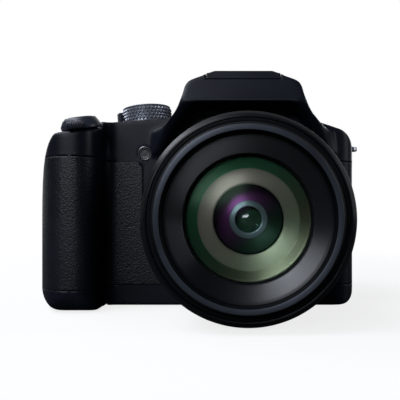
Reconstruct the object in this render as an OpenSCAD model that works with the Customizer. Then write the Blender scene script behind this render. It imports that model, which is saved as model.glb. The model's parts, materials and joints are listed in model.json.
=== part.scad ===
// Bridge camera: a long-zoom lens fixed to a body with a deep grip.
// Origin at the mouth of the tripod socket, lens facing -Y, +Z up, millimetres.

/* [Body] */
// Lens axis to the right side, seen from the front
right_x = 44.3; // [43:0.1:47]
// Lens axis to the outer side of the grip
grip_x = 85.9; // [84:0.1:90]
// Lens axis to the inner flank of the grip
flank_x = 59; // [58:0.1:60]
// Tripod axis to the front panel
panel_y = 24; // [23:0.1:25.5]
// Tripod axis to the front of the grip
grip_y = 44; // [43:0.1:47]
// Tripod axis to the back face
rear_y = 22; // [21:0.1:24]
// Tripod axis to the parting line between front and rear covers
split_y = 6; // [5:0.1:6.5]
// Height of the bottom cover
tray_h = 8.5; // [7:0.1:10]
// Height of the seam under the top cover
seam_z = 59.5; // [58.5:0.1:60]
// Full height, to the top of the hump
hump_z = 94.3; // [93:0.1:96]
// Side offset of the hump from the lens axis
hump_x = -2; // [-3:0.1:-1]
// Wall thickness of the covers
wall = 2; // [1.6:0.1:2.2]
// Floor thickness of the bottom cover
floor_t = 2.4; // [2.2:0.1:2.8]
// Thickness of the leatherette
skin_t = 0.8; // [0.5:0.1:1]
// Gap around pieces that move or drop in
gap = 0.3; // [0.2:0.05:0.35]
// Radial clearance of a turning shaft or pin
run_gap = 0.05; // [0.02:0.01:0.08]

/* [Lens] */
// Height of the lens axis
lens_z = 35.5; // [35:0.1:37]
// Outer radius of the fixed barrel
barrel_r = 34.5; // [34:0.1:35]
// Tripod axis to the front rim of the fixed barrel
barrel_front = 79.3; // [76:0.1:84]
// Wall of each lens tube
tube_t = 1.3; // [1:0.05:1.5]
// Wall of the front barrel outside its filter thread
nose_wall = 2.8; // [2.4:0.1:3.2]
// Length that the nose of the front barrel stands out at rest
nose_out = 4.9; // [3:0.1:7]
// Width from the filter thread in to the front glass
ring_w = 7.2; // [6.5:0.1:8.2]

/* [Top controls] */
// Lens axis to the mode dial axis
dial_x = 45.4; // [44.5:0.1:46]
// Radius of the mode dial
dial_r = 11; // [9:0.1:11.5]
// Height of the mode dial
dial_h = 7.8; // [6.5:0.1:8.5]
// Lens axis to the shutter button axis
shutter_x = 65.4; // [65:0.1:67]
// Tripod axis to the shutter button axis
shutter_y = 35.5; // [34:0.1:36]
// Radius of the zoom lever at its foot
lever_r = 7.8; // [7:0.1:8.2]
// Height of the zoom lever
lever_h = 4.4; // [4:0.1:6]
// Radius of the shutter button's cap
shutter_r = 4.9; // [4.6:0.05:5]
// Radius of the rear dial
rear_dial_r = 8; // [7:0.1:8.5]

/* [Back] */
// Width of the monitor window
window_w = 70; // [64:0.5:72]
// Height of the monitor window
window_h = 46; // [42:0.5:47]
// Thickness of the monitor window
window_t = 1.1; // [0.8:0.1:1.3]
// Radius of the cursor pad
cursor_r = 12; // [10:0.1:13]
// Radius of the round back buttons
button_r = 2.8; // [2.2:0.1:3.2]
// Height that a button stands proud
button_out = 0.9; // [0.6:0.1:1.4]
// Depth of the eyecup
eyecup_d = 8; // [6:0.5:10]

/* [Flash] */
// Half width of the flash head
flash_half = 14.6; // [13:0.1:15.2]
// Tripod axis to the flash hinge, to the rear
flash_pivot_y = 2; // [1:0.1:3]
// Height of the flash hinge under the top of the hump, and radius of its knuckle
flash_knuckle = 4.3; // [4:0.1:4.5]
// Radius of the flash hinge pin
flash_pin_r = 1; // [0.8:0.05:1.2]

/* [Fastening] */
// Radius of the tripod thread (1/4 inch)
tripod_r = 3.175; // [3:0.005:3.4]
// Depth of the tripod thread
tripod_depth = 6; // [5:0.1:6.5]
// Thickness of a strap lug
lug_t = 1.8; // [1.2:0.1:2.2]
// Reach of a strap lug from the covers
lug_out = 4.7; // [4.2:0.1:6]
// Radius of the battery door pin
door_pin_r = 0.6; // [0.5:0.05:0.7]

/* [Power] */
// Width of the battery
battery_w = 14.6; // [14:0.1:14.8]
// Depth of the battery, front to back
battery_d = 31; // [29:0.1:31.5]
// Height of the battery
battery_h = 42; // [38:0.5:44]

/* [Hidden] */
$fn = 96;

// Finishes
body_black = "#1c1f26";
leather_black = "#17191d";
metal_grey = "#8b9099";
dark_plastic = "#101216";
bright_metal = "#b9bcc2";
glass_tint = "#5d6a5a";

// Corner radii of the plan outline
front_r = 8;
rear_r = 6;
grip_rear_r = 7;
grip_nose = 17;
finger_r = 8;
valley_r = 5;
// Corner radii of the base, seen from the front
base_r = 6;
grip_base_r = 8;
// Corner radii of the base under the grip and at the back, seen from the side
nose_base_r = 7.5;
rear_base_r = 3;
// Rounded outer edge of the grip: the way it faces, and its corner radius at the base
edge_turn = 20.6;
edge_base_r = 8;
// How far the grip side leans in at the seam and at its top
grip_lean = 2.1;
grip_top_lean = 10.4;
// A cut that runs past a face by this much leaves no skin
over = 1;

// Top deck: its height at the mode dial, and its side tilt
deck_tilt = 5;
deck_mid = seam_z + 17.4;
function deck_z(x) = deck_mid + tan(deck_tilt) * (x + dial_x);
dial_y = -2;

// Shutter platform: its height at the button, its tilt forward and to the side
platform_z = seam_z + 11.3;
platform_fore = 10;
platform_side = 7;

// Shoulder opposite the grip: its height at the side, its rounded width, and its rise to the hump
shoulder_z = seam_z + 14.2;
shoulder_w = 7.4;
shoulder_rise = 6.2;

// Brow over the lens: lip position, lip height and foot height
brow_out = 16;
lip_top = hump_z - 12.6;
lip_low = hump_z - 13.3;
brow_foot = lens_z + 26.5;
crown_back = 10.6;
// Crown: where it starts to fall towards the back, and by how much
crown_y = 7;
crown_fall = 4;

// Points on an arc, and on a cubic curve through its four control points
function arc(cx, cy, r, a0, a1, n) =
  [for (i = [0 : n]) let (a = a0 + (a1 - a0) * i / n) [cx + r * cos(a), cy + r * sin(a)]];
function curve(p, q, r, s, n) =
  [for (i = [0 : n]) let (t = i / n, u = 1 - t)
    u * u * u * p + 3 * u * u * t * q + 3 * u * t * t * r + t * t * t * s];
function flip(points) = [for (i = [len(points) - 1 : -1 : 0]) points[i]];

// Outline of the body from above, drawn in by d
function plan(d) = concat(
  arc(right_x - front_r, front_r - panel_y, front_r - d, 270, 360, 8),
  arc(right_x - rear_r, rear_y - rear_r, rear_r - d, 0, 90, 8),
  arc(grip_rear_r - grip_x, rear_y - grip_rear_r, grip_rear_r - d, 90, 180, 8),
  curve([d - grip_x, -14], [d - grip_x, 0.4 * d - 27], [6 + 0.4 * d - grip_x, d - grip_y],
    [grip_nose - grip_x, d - grip_y], 14),
  arc(-flank_x - finger_r, finger_r - grip_y, finger_r - d, 270, 360, 10),
  arc(valley_r - flank_x, -panel_y - valley_r, valley_r + d, 180, 90, 8));

// Outline of the grip seen square to its rounded outer edge, drawn in by d
function edge_reach() = max([for (p = plan(0)) -p[0] * cos(edge_turn) - p[1] * sin(edge_turn)]);
function grip_edge(d) = let (e = d - edge_reach()) concat(
  [[right_x + grip_x, hump_z], [right_x + grip_x, d], [e + edge_base_r, d]],
  arc(e + edge_base_r, edge_base_r, edge_base_r - d, 270, 180, 8),
  curve([e, lens_z], [e, lens_z + 12], [e + 0.3, seam_z - 4], [e + 1, seam_z], 4),
  curve([e + 1, seam_z], [e + 1.9, seam_z + 6], [e + 3.2, seam_z + 9.5 - d], [e + 9, seam_z + 13 - d], 6),
  [[e + 20, hump_z]]);

// Outline of the lower body from the front, drawn in by d
function low_front(d) = concat(
  [[right_x - d, seam_z + over]],
  arc(right_x - base_r, base_r, base_r - d, 0, -90, 8),
  arc(grip_base_r - grip_x, grip_base_r, grip_base_r - d, 270, 180, 8),
  curve([d - grip_x, 34], [d - grip_x, 43], [d - grip_x + grip_lean / 2, 52],
    [d - grip_x + grip_lean, seam_z + over], 5));

// Outline of the lower body from the side, drawn in by d
function low_side(d) = concat(
  [[rear_y - d, seam_z + over], [d - grip_y, seam_z + over]],
  arc(nose_base_r - grip_y, nose_base_r, nose_base_r - d, 180, 270, 8),
  arc(rear_y - rear_base_r, rear_base_r, rear_base_r - d, 270, 360, 6));

// Outline of the decks and shoulder from the front, lowered and drawn in by d
function high_front(d) = concat(
  [[right_x - d, seam_z]],
  curve([right_x - d, shoulder_z - 8.2], [right_x - d - 0.2, shoulder_z - 4.2],
    [right_x - d - 4, shoulder_z - 0.6 - d], [right_x - shoulder_w, shoulder_z - d], 8),
  [[hump_x + 20, shoulder_z + shoulder_rise - d], [hump_x - 20, deck_z(hump_x - 20) - d]],
  curve([grip_top_lean - grip_x, deck_z(grip_top_lean - grip_x) - d],
    [grip_top_lean - 4 - grip_x, deck_z(grip_top_lean - grip_x) - 0.6 - d],
    [d + grip_lean + 1.5 - grip_x, seam_z + 8.5 - d], [d + grip_lean - grip_x, seam_z], 8));

// Half outline of the hump: half width against height, from its flat crown down its flare
flare_top = hump_z - 7.5;
flare_foot = shoulder_z - 2.2;
flare_h = flare_top - flare_foot;
function hump_half() = concat(
  [[11.5, hump_z]],
  curve([20, hump_z - 3.4], [22.3, hump_z - 4.3], [22.9, hump_z - 5.7], [23.3, flare_top], 6),
  curve([23.3, flare_top], [24.3, flare_top - 0.477 * flare_h], [28.2, flare_foot + 0.176 * flare_h],
    [37.3, flare_foot], 10),
  [[38.8, seam_z]]);
function hump_front() = concat(
  [for (p = hump_half()) [hump_x + p[0], p[1]]],
  flip([for (p = hump_half()) [hump_x - p[0], p[1]]]));

// Half outline of the opening under the brow
function arch_half() = concat(
  curve([15.5, lip_low], [20, lip_low], [21.6, lip_low - 1.6], [23.4, lip_low - 4], 6),
  [[28.2, lip_low - 10], [34, brow_foot], [44, brow_foot - 12]]);
function arch_front() = concat(
  [for (p = arch_half()) [hump_x + p[0], p[1]]],
  flip([for (p = arch_half()) [hump_x - p[0], p[1]]]));

// Half outline of the brow from above: full depth over the lens, run out into the panel at its sides
function brow_half() = concat(
  [[39, wall - panel_y]],
  curve([39, -panel_y - 0.4], [33, -panel_y - 1.5], [30, -panel_y - brow_out],
    [22, -panel_y - brow_out], 8));
function brow_plan() = concat(
  [for (p = brow_half()) [hump_x + p[0], p[1]]],
  flip([for (p = brow_half()) [hump_x - p[0], p[1]]]));

// Outlines from the side: the brow in front of the panel, and the crown that falls to the back
function brow_side() = [
  [-panel_y - crown_back, hump_z], [-panel_y - brow_out, lip_top], [-panel_y - brow_out, lip_low],
  [-panel_y - 0.8, brow_foot], [-panel_y + wall, brow_foot], [-panel_y + wall, hump_z]];
function crown_side() = [
  [-grip_y - over, hump_z], [-grip_y - over, seam_z], [rear_y + over, seam_z],
  [rear_y + over, hump_z - crown_fall], [crown_y, hump_z]];

// Extrusions of a front view along Y and of a side view along X
module along_y(y0, y1) {
  translate([0, y1, 0]) rotate([90, 0, 0]) linear_extrude(y1 - y0) children();
}
module along_x(x0, x1) {
  translate([x0, 0, 0]) rotate([90, 0, 90]) linear_extrude(x1 - x0) children();
}
module block(x0, x1, y0, y1, z0, z1) {
  translate([x0, y0, z0]) cube([x1 - x0, y1 - y0, z1 - z0]);
}
// Cylinder along Y, and a body turned about the lens axis from (radius, y) points
module rod_y(x, z, r, y0, y1) {
  translate([x, y0, z]) rotate([-90, 0, 0]) cylinder(r = r, h = y1 - y0);
}
module turned(points) {
  translate([0, 0, lens_z]) rotate([-90, 0, 0]) rotate_extrude() polygon(points);
}
module tube_y(r0, r1, y0, y1) {
  turned([[r0, y0], [r1, y0], [r1, y1], [r0, y1]]);
}
// Half section of a lens of radius r between two crowns that bulge by their own sag
function lens_points(r, front, front_sag, rear, rear_sag) = concat(
  [for (i = [0 : 8]) [r * i / 8, front + front_sag * i * i / 64]],
  [for (i = [8 : -1 : 0]) [r * i / 8, rear - rear_sag * i * i / 64]]);
module rounded(w, h, r) {
  polygon(concat(arc(w / 2 - r, h / 2 - r, r, 0, 90, 6), arc(r - w / 2, h / 2 - r, r, 90, 180, 6),
    arc(r - w / 2, r - h / 2, r, 180, 270, 6), arc(w / 2 - r, r - h / 2, r, 270, 360, 6)));
}

// Frames that carry the tilted controls
module dial_frame() {
  translate([-dial_x, dial_y, deck_mid]) rotate([0, -deck_tilt, 0]) children();
}
module platform_frame() {
  translate([-shutter_x, -shutter_y, platform_z]) rotate([platform_fore, -platform_side, 0]) children();
}

// Space inside the rounded outer edge of the grip
module grip_edge_form(d) {
  rotate([0, 0, edge_turn]) along_y(-2 * grip_x, 2 * grip_x) polygon(grip_edge(d));
}

// Lower body, drawn in by d
module low_form(d) {
  intersection() {
    translate([0, 0, -over]) linear_extrude(seam_z + over) polygon(plan(d));
    along_y(-grip_y - over, rear_y + over) polygon(low_front(d));
    along_x(-grip_x - over, right_x + over) polygon(low_side(d));
    grip_edge_form(d);
  }
}

// Half section of the bowl round the zoom lever that rises to the deck, widened by d
function ramp(d) = curve([lever_r + 0.6 + d, 0], [lever_r + 2.6 + d, 0.1],
  [lever_r + 3.2 + d, 4.6], [lever_r + 5 + d, 5.6], 8);

// Space above the shutter platform, lowered by d: the bowl, open towards the grip's outer side
module platform_cut(d) {
  platform_frame() translate([0, 0, -d]) {
    rotate_extrude() polygon(concat([[0, 40], [0, 0]], ramp(d), [[lever_r + 6 + d, 40]]));
    block(-40, 0, -30, lever_r + d, 0, 40);
  }
}

module hump_form() {
  along_y(-panel_y - brow_out, rear_y) polygon(hump_front());
}

// Whole outside of the top cover
module top_form() {
  difference() {
    union() {
      intersection() {
        translate([0, 0, seam_z]) linear_extrude(hump_z) polygon(plan(0));
        along_y(-grip_y - over, rear_y + over) union() {
          polygon(high_front(0));
          polygon(hump_front());
        }
        along_x(-grip_x, right_x) polygon(crown_side());
        grip_edge_form(0);
      }
      difference() {
        intersection() {
          hump_form();
          along_x(-grip_x, right_x) polygon(brow_side());
          translate([0, 0, seam_z]) linear_extrude(hump_z) polygon(brow_plan());
        }
        along_y(-panel_y - brow_out - over, -panel_y) polygon(arch_front());
        block(-grip_x, right_x, wall / 2 - panel_y, rear_y, seam_z, hump_z + over);
      }
    }
    platform_cut(0);
  }
}

// Lens: radii and planes of the nested tubes, from the fixed barrel inwards
cam_r1 = barrel_r - tube_t - gap;
cam_r0 = cam_r1 - 0.7;
zoom_r1 = cam_r0 - gap;
zoom_r0 = zoom_r1 - tube_t;
nose_r1 = zoom_r0 - gap;
thread_r = nose_r1 - nose_wall;
glass_r = thread_r - ring_w;
nose_front = -barrel_front - nose_out;
zoom_front = -barrel_front - 0.6;
tube_rear = -panel_y - 6;
base_spigot_r = 23;
spigot_t = 3;
flange_y = wall - panel_y;
flange_t = 2.9;
rear_tube_r1 = 13;
rear_tube_r0 = 11;
sensor_y = 3.5;

// Battery bay in the grip
battery_x = -77.4;
battery_y = -26;
holder_t = 0.7;
holder_gap = 0.2;
card_x = battery_x + battery_w + holder_gap + holder_t + gap;
card_y = -21;
card_w = 24;
card_t = 2.1;
card_h = 32;
bay_z = floor_t + 0.2;
door_low = 0.15;
door_t = 1.1;
// Room beside the door's hinged edge, for its upper corner as it swings down
door_room = 0.75;
door_x0 = battery_x - 0.8;
door_x1 = card_x + card_t + 0.5;
door_y0 = battery_y - 2;
door_y1 = battery_y + battery_d + 2;
hinge_x = door_x1 + 2.4;
hinge_z = 1.5;
hinge_r = 1.5;
hinge_y0 = -20;
hinge_y1 = 2;
hinge_end = 3;

// Port door in the side of the rear cover
port_z0 = 11;
port_z1 = 33;
port_r = 0.9;
port_y0 = split_y + 2.6;
port_y1 = port_y0 + 5.6;
port_pin_r = 0.45;
port_x = port_r - grip_x;

// Main board, chassis plate and monitor, front to back
board_y = port_y0;
board_t = 1.2;
board_x0 = -78;
board_in = 2.3;
chassis_x0 = -58;
chassis_y = board_y + 3;
chassis_t = 1;
window_x = 4;
window_z = (tray_h + seam_z) / 2;
window_rim = 2;
glass_back = rear_y - window_t;
panel_t = 3.2;

// Back controls: place of each, x and z
af_lock_at = [-39, 52.5];
play_at = [-39.5, 43];
display_at = [-39.5, 14];
menu_at = [-71, 12.5];
lvf_at = [28, 65.6];
cursor_at = [-57, 27];
set_r = 4.6;
thumb_at = [-70, seam_z - 11];
// Rear dial in the top cover
rear_dial_x = -68;
rear_dial_y = rear_y + 1.5 - rear_dial_r;
rear_dial_z = seam_z + 2.6;
rear_dial_t = 5;
rear_pin_r = 1.5;

// Viewfinder block behind the hump
finder_y = rear_y + 5;
finder_z = hump_z - 14.3;
finder_w = 36;
finder_h = 19;
finder_bore = 9;
finder_depth = 7;
diopter_r = 3;
diopter_t = 2;
diopter_y = rear_y + gap + diopter_r;
diopter_pin_r = 1.2;

// Flash head in the crown of the hump
flash_pivot_z = hump_z - flash_knuckle;
flash_seam = hump_z - 3.7;
lid_gap = 0.15;
// Room round the knuckle for the corner of the lid as it swings up
knuckle_room = 0.7;
flash_front = -30;
flash_low = hump_z - 10;
flash_window_t = 0.8;
flash_pin_half = flash_half + 2.9;
capacitor_at = [33, 21];
capacitor_r = 5.5;
capacitor_h = 28;

// Controls on the decks
movie_at = [-63.5, 9];
movie_r = 3;
flash_button_at = [33, 4];
flash_button_r = 2.4;
lamp_at = [-42.9, lens_z + 27.3];
lamp_r = 2.3;
shaft_r = 2.5;
collar_r = 4.6;
stem_r = 4.2;
stem_depth = 7.5;
// How far the shutter's cap sits down in the zoom lever
cap_sink = 0.9;
power_t = 0.9;

// Screws under the base
screw_at = [[-42, 15], [32, 15], [32, -14], [-42, -14]];
screw_head_r = 1.8;
screw_shank_r = 0.8;
screw_head_t = 1.2;
boss_r = 3;
socket_r = 5.5;
socket_flange_r = 8;
socket_flange_t = 1.2;

// Strap lugs: left and right roots
lug_z = seam_z + 7.4;
lug_w = 6;
lug_at = [[wall / 2 + grip_lean - grip_x, 4], [right_x - 0.4, -5]];
lug_root = 2.4;
lug_hole_r = 1.4;

// Part of the lower body between two heights
module low_shell(z0, z1) {
  difference() {
    intersection() {
      low_form(0);
      block(-grip_x - over, right_x + over, -grip_y - over, rear_y + over, z0, z1);
    }
    intersection() {
      low_form(wall);
      block(-grip_x, right_x, -grip_y, rear_y, floor_t, seam_z + over);
    }
  }
}

// Region of the front that the leatherette covers, seen from the front
module leather_region() {
  difference() {
    polygon([[-grip_x - over, tray_h], [-22, tray_h], [-34, 22], [-43.5, 40], [-43.5, seam_z - 2.5],
      [-45.5, seam_z], [-grip_x - over, seam_z]]);
    translate([0, lens_z]) circle(r = barrel_r + 2.8);
  }
}
module leather_form() {
  intersection() {
    difference() {
      low_form(0);
      low_form(skin_t);
    }
    along_y(-grip_y - over, split_y) leather_region();
    block(-grip_x - over, right_x, -grip_y - over, split_y, tray_h, seam_z);
  }
}

module bottom_cover() {
  color(body_black) difference() {
    union() {
      low_shell(0, tray_h);
      for (p = screw_at) translate([p[0], p[1], floor_t / 2]) cylinder(r = boss_r, h = tray_h - floor_t / 2);
      block(hinge_x - 1.8, hinge_x + 2.4, hinge_y0 - hinge_end, hinge_y1 + hinge_end,
        floor_t / 2, floor_t + 2);
    }
    translate([0, 0, -over]) cylinder(r = socket_r, h = floor_t + 2 * over);
    for (p = screw_at) translate([p[0], p[1], 0]) {
      translate([0, 0, -over]) cylinder(r = screw_head_r + gap / 2, h = over + screw_head_t + 0.3);
      cylinder(r = screw_shank_r + run_gap, h = tray_h + over);
    }
    // Recess of the battery door, then the bay and card mouths
    block(door_x0 - gap, door_x1 + door_room, door_y0 - gap, door_y1 + gap, -over, door_low + door_t + gap);
    block(door_x1, hinge_x, hinge_y0 - gap, hinge_y1 + gap, -over, hinge_z);
    rod_y(hinge_x, hinge_z, hinge_r + gap, hinge_y0 - gap, hinge_y1 + gap);
    block(hinge_x - hinge_r - gap, hinge_x + hinge_r + gap, hinge_y0 - gap, hinge_y1 + gap, -over, hinge_z);
    rod_y(hinge_x, hinge_z, door_pin_r + 0.02, hinge_y0 - hinge_end + 0.6, hinge_y1 + hinge_end - 0.6);
    block(battery_x - holder_gap, battery_x + battery_w + holder_gap, battery_y - holder_gap,
      battery_y + battery_d + holder_gap, 0, floor_t + over);
    block(card_x - holder_gap, card_x + card_t + holder_gap, card_y - holder_gap,
      card_y + card_w + holder_gap, 0, floor_t + over);
  }
}

module front_cover() {
  color(body_black) difference() {
    intersection() {
      low_shell(tray_h, seam_z);
      block(-grip_x - over, right_x + over, -grip_y - over, split_y, tray_h, seam_z);
    }
    rod_y(0, lens_z, base_spigot_r + gap / 2, -panel_y - over, flange_y + over);
    leather_form();
  }
}

module grip_leatherette() {
  color(leather_black) leather_form();
}

module rear_cover() {
  color(body_black) difference() {
    intersection() {
      low_shell(tray_h, seam_z);
      block(-grip_x - over, right_x + over, split_y, rear_y + over, tray_h, seam_z);
    }
    // Monitor: a rebate for the window, and the opening behind it
    translate([window_x, 0, window_z]) {
      along_y(glass_back, rear_y + over) rounded(window_w + gap, window_h + gap, 2);
      along_y(rear_y - wall - over, rear_y)
        square([window_w - 2 * window_rim, window_h - 2 * window_rim], true);
    }
    for (p = [af_lock_at, play_at, display_at, menu_at])
      rod_y(p[0], p[1], button_r + gap, rear_y - wall - over, rear_y + over);
    rod_y(cursor_at[0], cursor_at[1], cursor_r + gap, rear_y - wall - over, rear_y + over);
    // Port door, its knuckle and its two pivots
    block(-grip_x - over, wall + 1 - grip_x, port_y0, port_y1 + gap, port_z0 - gap, port_z1 + gap);
    translate([port_x, port_y0, port_z0 - gap])
      cylinder(r = port_r + gap, h = port_z1 - port_z0 + 2 * gap);
    block(-grip_x - over, port_x, port_y0 - port_r - gap, port_y0, port_z0 - gap, port_z1 + gap);
    translate([port_x, port_y0, port_z0 - 2]) cylinder(r = port_pin_r + run_gap, h = port_z1 - port_z0 + 4);
  }
}

module thumb_rest() {
  color(leather_black) translate([thumb_at[0], 0, thumb_at[1]]) along_y(rear_y, rear_y + 1.4)
    rounded(16, 18, 5);
}

// Inside of the top cover, clear of the hump that holds the viewfinder and the flash
module top_cavity() {
  difference() {
    intersection() {
      translate([0, 0, seam_z - over]) linear_extrude(hump_z) polygon(plan(wall));
      along_y(-grip_y, rear_y) polygon(concat([[right_x - wall, seam_z - over]], high_front(wall),
        [[wall + grip_lean - grip_x, seam_z - over]]));
      grip_edge_form(wall);
    }
    platform_cut(wall);
    block(hump_x - 22, hump_x + 22, crown_y - 3, rear_y, finder_z - finder_bore - 3.5, hump_z);
  }
}

module top_cover() {
  color(body_black) difference() {
    union() {
      difference() {
        top_form();
        top_cavity();
      }
      translate([hump_x, 0, finder_z]) along_y(rear_y - wall, finder_y) rounded(finder_w, finder_h, 4);
      dial_frame() translate([0, 0, -7]) cylinder(r = shaft_r + 3, h = 6);
      platform_frame() translate([0, 0, -6]) cylinder(r = collar_r + 0.6, h = 6 + lever_h - cap_sink - 1);
      translate([rear_dial_x, rear_dial_y, rear_dial_z - 1.5])
        cylinder(r = rear_pin_r, h = deck_z(rear_dial_x) - 1 - rear_dial_z + 1.5);
      translate([rear_dial_x, rear_dial_y, rear_dial_z + rear_dial_t + gap])
        cylinder(r = 3.5, h = deck_z(rear_dial_x) - 1 - rear_dial_z - rear_dial_t - gap);
    }
    // Flash pocket, the lid's place and the knuckle's seat
    block(hump_x - flash_half - lid_gap, hump_x + flash_half + lid_gap, flash_front - 2, flash_pivot_y,
      flash_low - 2 * gap, hump_z + over);
    block(hump_x - flash_half - lid_gap, hump_x + flash_half + lid_gap, -grip_y, flash_pivot_y,
      flash_seam, hump_z + over);
    flash_rod(flash_knuckle + knuckle_room, flash_half + lid_gap);
    flash_rod(flash_pin_r + 0.02, flash_pin_half);
    // Viewfinder tunnel and the diopter dial's pivot
    rod_y(hump_x, finder_z, finder_bore, finder_depth, finder_y + over);
    translate([hump_x - finder_w / 2 - over, diopter_y, finder_z]) rotate([0, 90, 0])
      cylinder(r = diopter_pin_r + run_gap, h = 6 + over);
    rod_y(lamp_at[0], lamp_at[1], lamp_r, -panel_y - over, flange_y + over);
    dial_frame() translate([0, 0, -8]) cylinder(r = shaft_r + run_gap, h = 12);
    platform_frame() translate([0, 0, -stem_depth - 2.5])
      cylinder(r = stem_r + gap / 3, h = 2 * stem_depth + lever_h);
    translate([movie_at[0], movie_at[1], seam_z]) cylinder(r = movie_r + gap, h = hump_z);
    translate([flash_button_at[0], flash_button_at[1], seam_z])
      cylinder(r = flash_button_r + gap, h = hump_z);
    rod_y(lvf_at[0], lvf_at[1], button_r + gap, rear_y - wall - over, rear_y + over);
    // Slot for the rear dial
    translate([rear_dial_x, rear_dial_y, rear_dial_z - gap]) difference() {
      cylinder(r = rear_dial_r + gap, h = rear_dial_t + 2 * gap);
      translate([0, 0, -over]) cylinder(r = rear_pin_r, h = rear_dial_t + 2 * over);
    }
    for (side = [-1, 1]) lug(side);
  }
}

// Cylinder along the flash hinge
module flash_rod(r, half) {
  translate([hump_x - half, flash_pivot_y, flash_pivot_z]) rotate([0, 90, 0]) cylinder(r = r, h = 2 * half);
}

module chassis() {
  color(bright_metal) difference() {
    union() {
      block(chassis_x0, right_x - wall - board_in, chassis_y, chassis_y + chassis_t,
        tray_h + 0.5, seam_z - 2);
      block(-14, 14, chassis_y, chassis_y + chassis_t, floor_t + socket_flange_t, tray_h + 0.5);
      block(-14, 14, -9, chassis_y + chassis_t, floor_t + socket_flange_t, floor_t + socket_flange_t + 1);
      for (x = [-50, 34], z = [18, seam_z - 8]) rod_y(x, z, 1.8, board_y + board_t, chassis_y);
    }
    translate([0, 0, floor_t]) cylinder(r = socket_r + gap, h = tray_h);
  }
}

module case_screws() {
  color(metal_grey) for (p = screw_at) translate([p[0], p[1], 0.3]) difference() {
    union() {
      cylinder(r = screw_head_r, h = screw_head_t);
      cylinder(r = screw_shank_r, h = tray_h - 1.5);
    }
    // Cross recess
    for (a = [0, 90]) rotate([0, 0, a]) translate([-1.1, -0.2, -over]) cube([2.2, 0.4, over + 0.6]);
  }
}

module tripod_socket() {
  color(bright_metal) difference() {
    union() {
      cylinder(r = socket_r, h = tripod_depth + 1.4);
      translate([0, 0, floor_t]) cylinder(r = socket_flange_r, h = socket_flange_t);
    }
    translate([0, 0, -over]) cylinder(r = tripod_r, h = tripod_depth + over);
  }
}

// One strap lug, an eye plate set into the side of the top cover
module lug(side) {
  translate([lug_at[(side + 1) / 2][0], lug_at[(side + 1) / 2][1], lug_z - lug_t / 2])
    linear_extrude(lug_t) mirror([(1 - side) / 2, 0]) difference() {
      union() {
        translate([-lug_root, -lug_w / 2]) square([lug_root + lug_out - lug_w / 2, lug_w]);
        translate([lug_out - lug_w / 2, 0]) circle(r = lug_w / 2);
      }
      translate([lug_out - lug_w / 2 + 0.6, 0]) circle(r = lug_hole_r);
    }
}
module strap_lugs() {
  color(bright_metal) for (side = [-1, 1]) lug(side);
}

module main_board() {
  color("#20452f") block(board_x0, right_x - wall - board_in, board_y, board_y + board_t,
    tray_h + 1.5, seam_z - 2.5);
}
module sensor_board() {
  color("#20452f") block(-15, 15, sensor_y, sensor_y + 1, lens_z - 15, lens_z + 15);
}
module image_sensor() {
  color("#3a4a6a") block(-5, 5, sensor_y - 1.5, sensor_y, lens_z - 4, lens_z + 4);
}
module usb_socket() {
  color(bright_metal) block(-83.6, -76.6, board_y + board_t, board_y + board_t + 3.2, 13, 22);
}
module hdmi_socket() {
  color(bright_metal) block(-83.6, -76.6, board_y + board_t, board_y + board_t + 2.8, 24.5, 31);
}

module battery() {
  color("#2a2d33") block(battery_x, battery_x + battery_w, battery_y, battery_y + battery_d,
    bay_z, bay_z + battery_h);
}
module battery_holder() {
  h = bay_z + battery_h + holder_gap;
  color(dark_plastic) difference() {
    block(battery_x - holder_gap - holder_t, battery_x + battery_w + holder_gap + holder_t,
      battery_y - holder_gap - holder_t, battery_y + battery_d + holder_gap + holder_t,
      floor_t, h + holder_t);
    block(battery_x - holder_gap, battery_x + battery_w + holder_gap, battery_y - holder_gap,
      battery_y + battery_d + holder_gap, 0, h);
  }
}
module memory_card() {
  color("#24303f") difference() {
    block(card_x, card_x + card_t, card_y, card_y + card_w, bay_z + 3, bay_z + 3 + card_h);
    // Clipped corner
    translate([card_x - over, card_y + card_w, bay_z + 3 + card_h]) rotate([45, 0, 0])
      translate([0, -3, -3]) cube([card_t + 2 * over, 6, 6]);
  }
}

latch_x = battery_x + 2;
latch_y = -9;
latch_w = 4.4;
latch_l = 4;
latch_travel = 2;
latch_t = 0.5;
module battery_door() {
  color(body_black) difference() {
    union() {
      intersection() {
        union() {
          block(door_x0, door_x1, door_y0, door_y1, door_low, door_low + door_t);
          block(door_x1 - over, hinge_x, hinge_y0, hinge_y1, door_low, door_low + door_t);
        }
        low_form(0);
      }
      rod_y(hinge_x, hinge_z + 0.1, hinge_r - 0.1, hinge_y0, hinge_y1);
    }
    rod_y(hinge_x, hinge_z, door_pin_r + run_gap, hinge_y0 - over, hinge_y1 + over);
    block(latch_x - gap, latch_x + latch_l + latch_travel + gap, latch_y - latch_w / 2 - gap,
      latch_y + latch_w / 2 + gap, -over, door_low + latch_t + gap);
  }
}
module battery_door_pin() {
  color(bright_metal)
    rod_y(hinge_x, hinge_z, door_pin_r, hinge_y0 - hinge_end + 0.7, hinge_y1 + hinge_end - 0.7);
}
module battery_latch() {
  color(metal_grey) block(latch_x, latch_x + latch_l, latch_y - latch_w / 2, latch_y + latch_w / 2,
    door_low, door_low + latch_t);
}

module port_door() {
  color(dark_plastic) union() {
    intersection() {
      block(-grip_x, 2 * port_r - grip_x, port_y0, port_y1, port_z0, port_z1);
      low_form(0);
    }
    translate([port_x, port_y0, port_z0]) cylinder(r = port_r, h = port_z1 - port_z0);
    translate([port_x, port_y0, port_z0 - 1.6]) cylinder(r = port_pin_r, h = port_z1 - port_z0 + 3.2);
  }
}

module lcd_panel() {
  color(dark_plastic) translate([window_x, 0, window_z]) along_y(rear_y - wall - panel_t, rear_y - wall)
    square([window_w - window_rim, window_h - window_rim], true);
}
module lcd_window() {
  color("#0b0d10") translate([window_x, 0, window_z]) along_y(glass_back, rear_y)
    rounded(window_w - gap, window_h - gap, 2);
}

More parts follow.
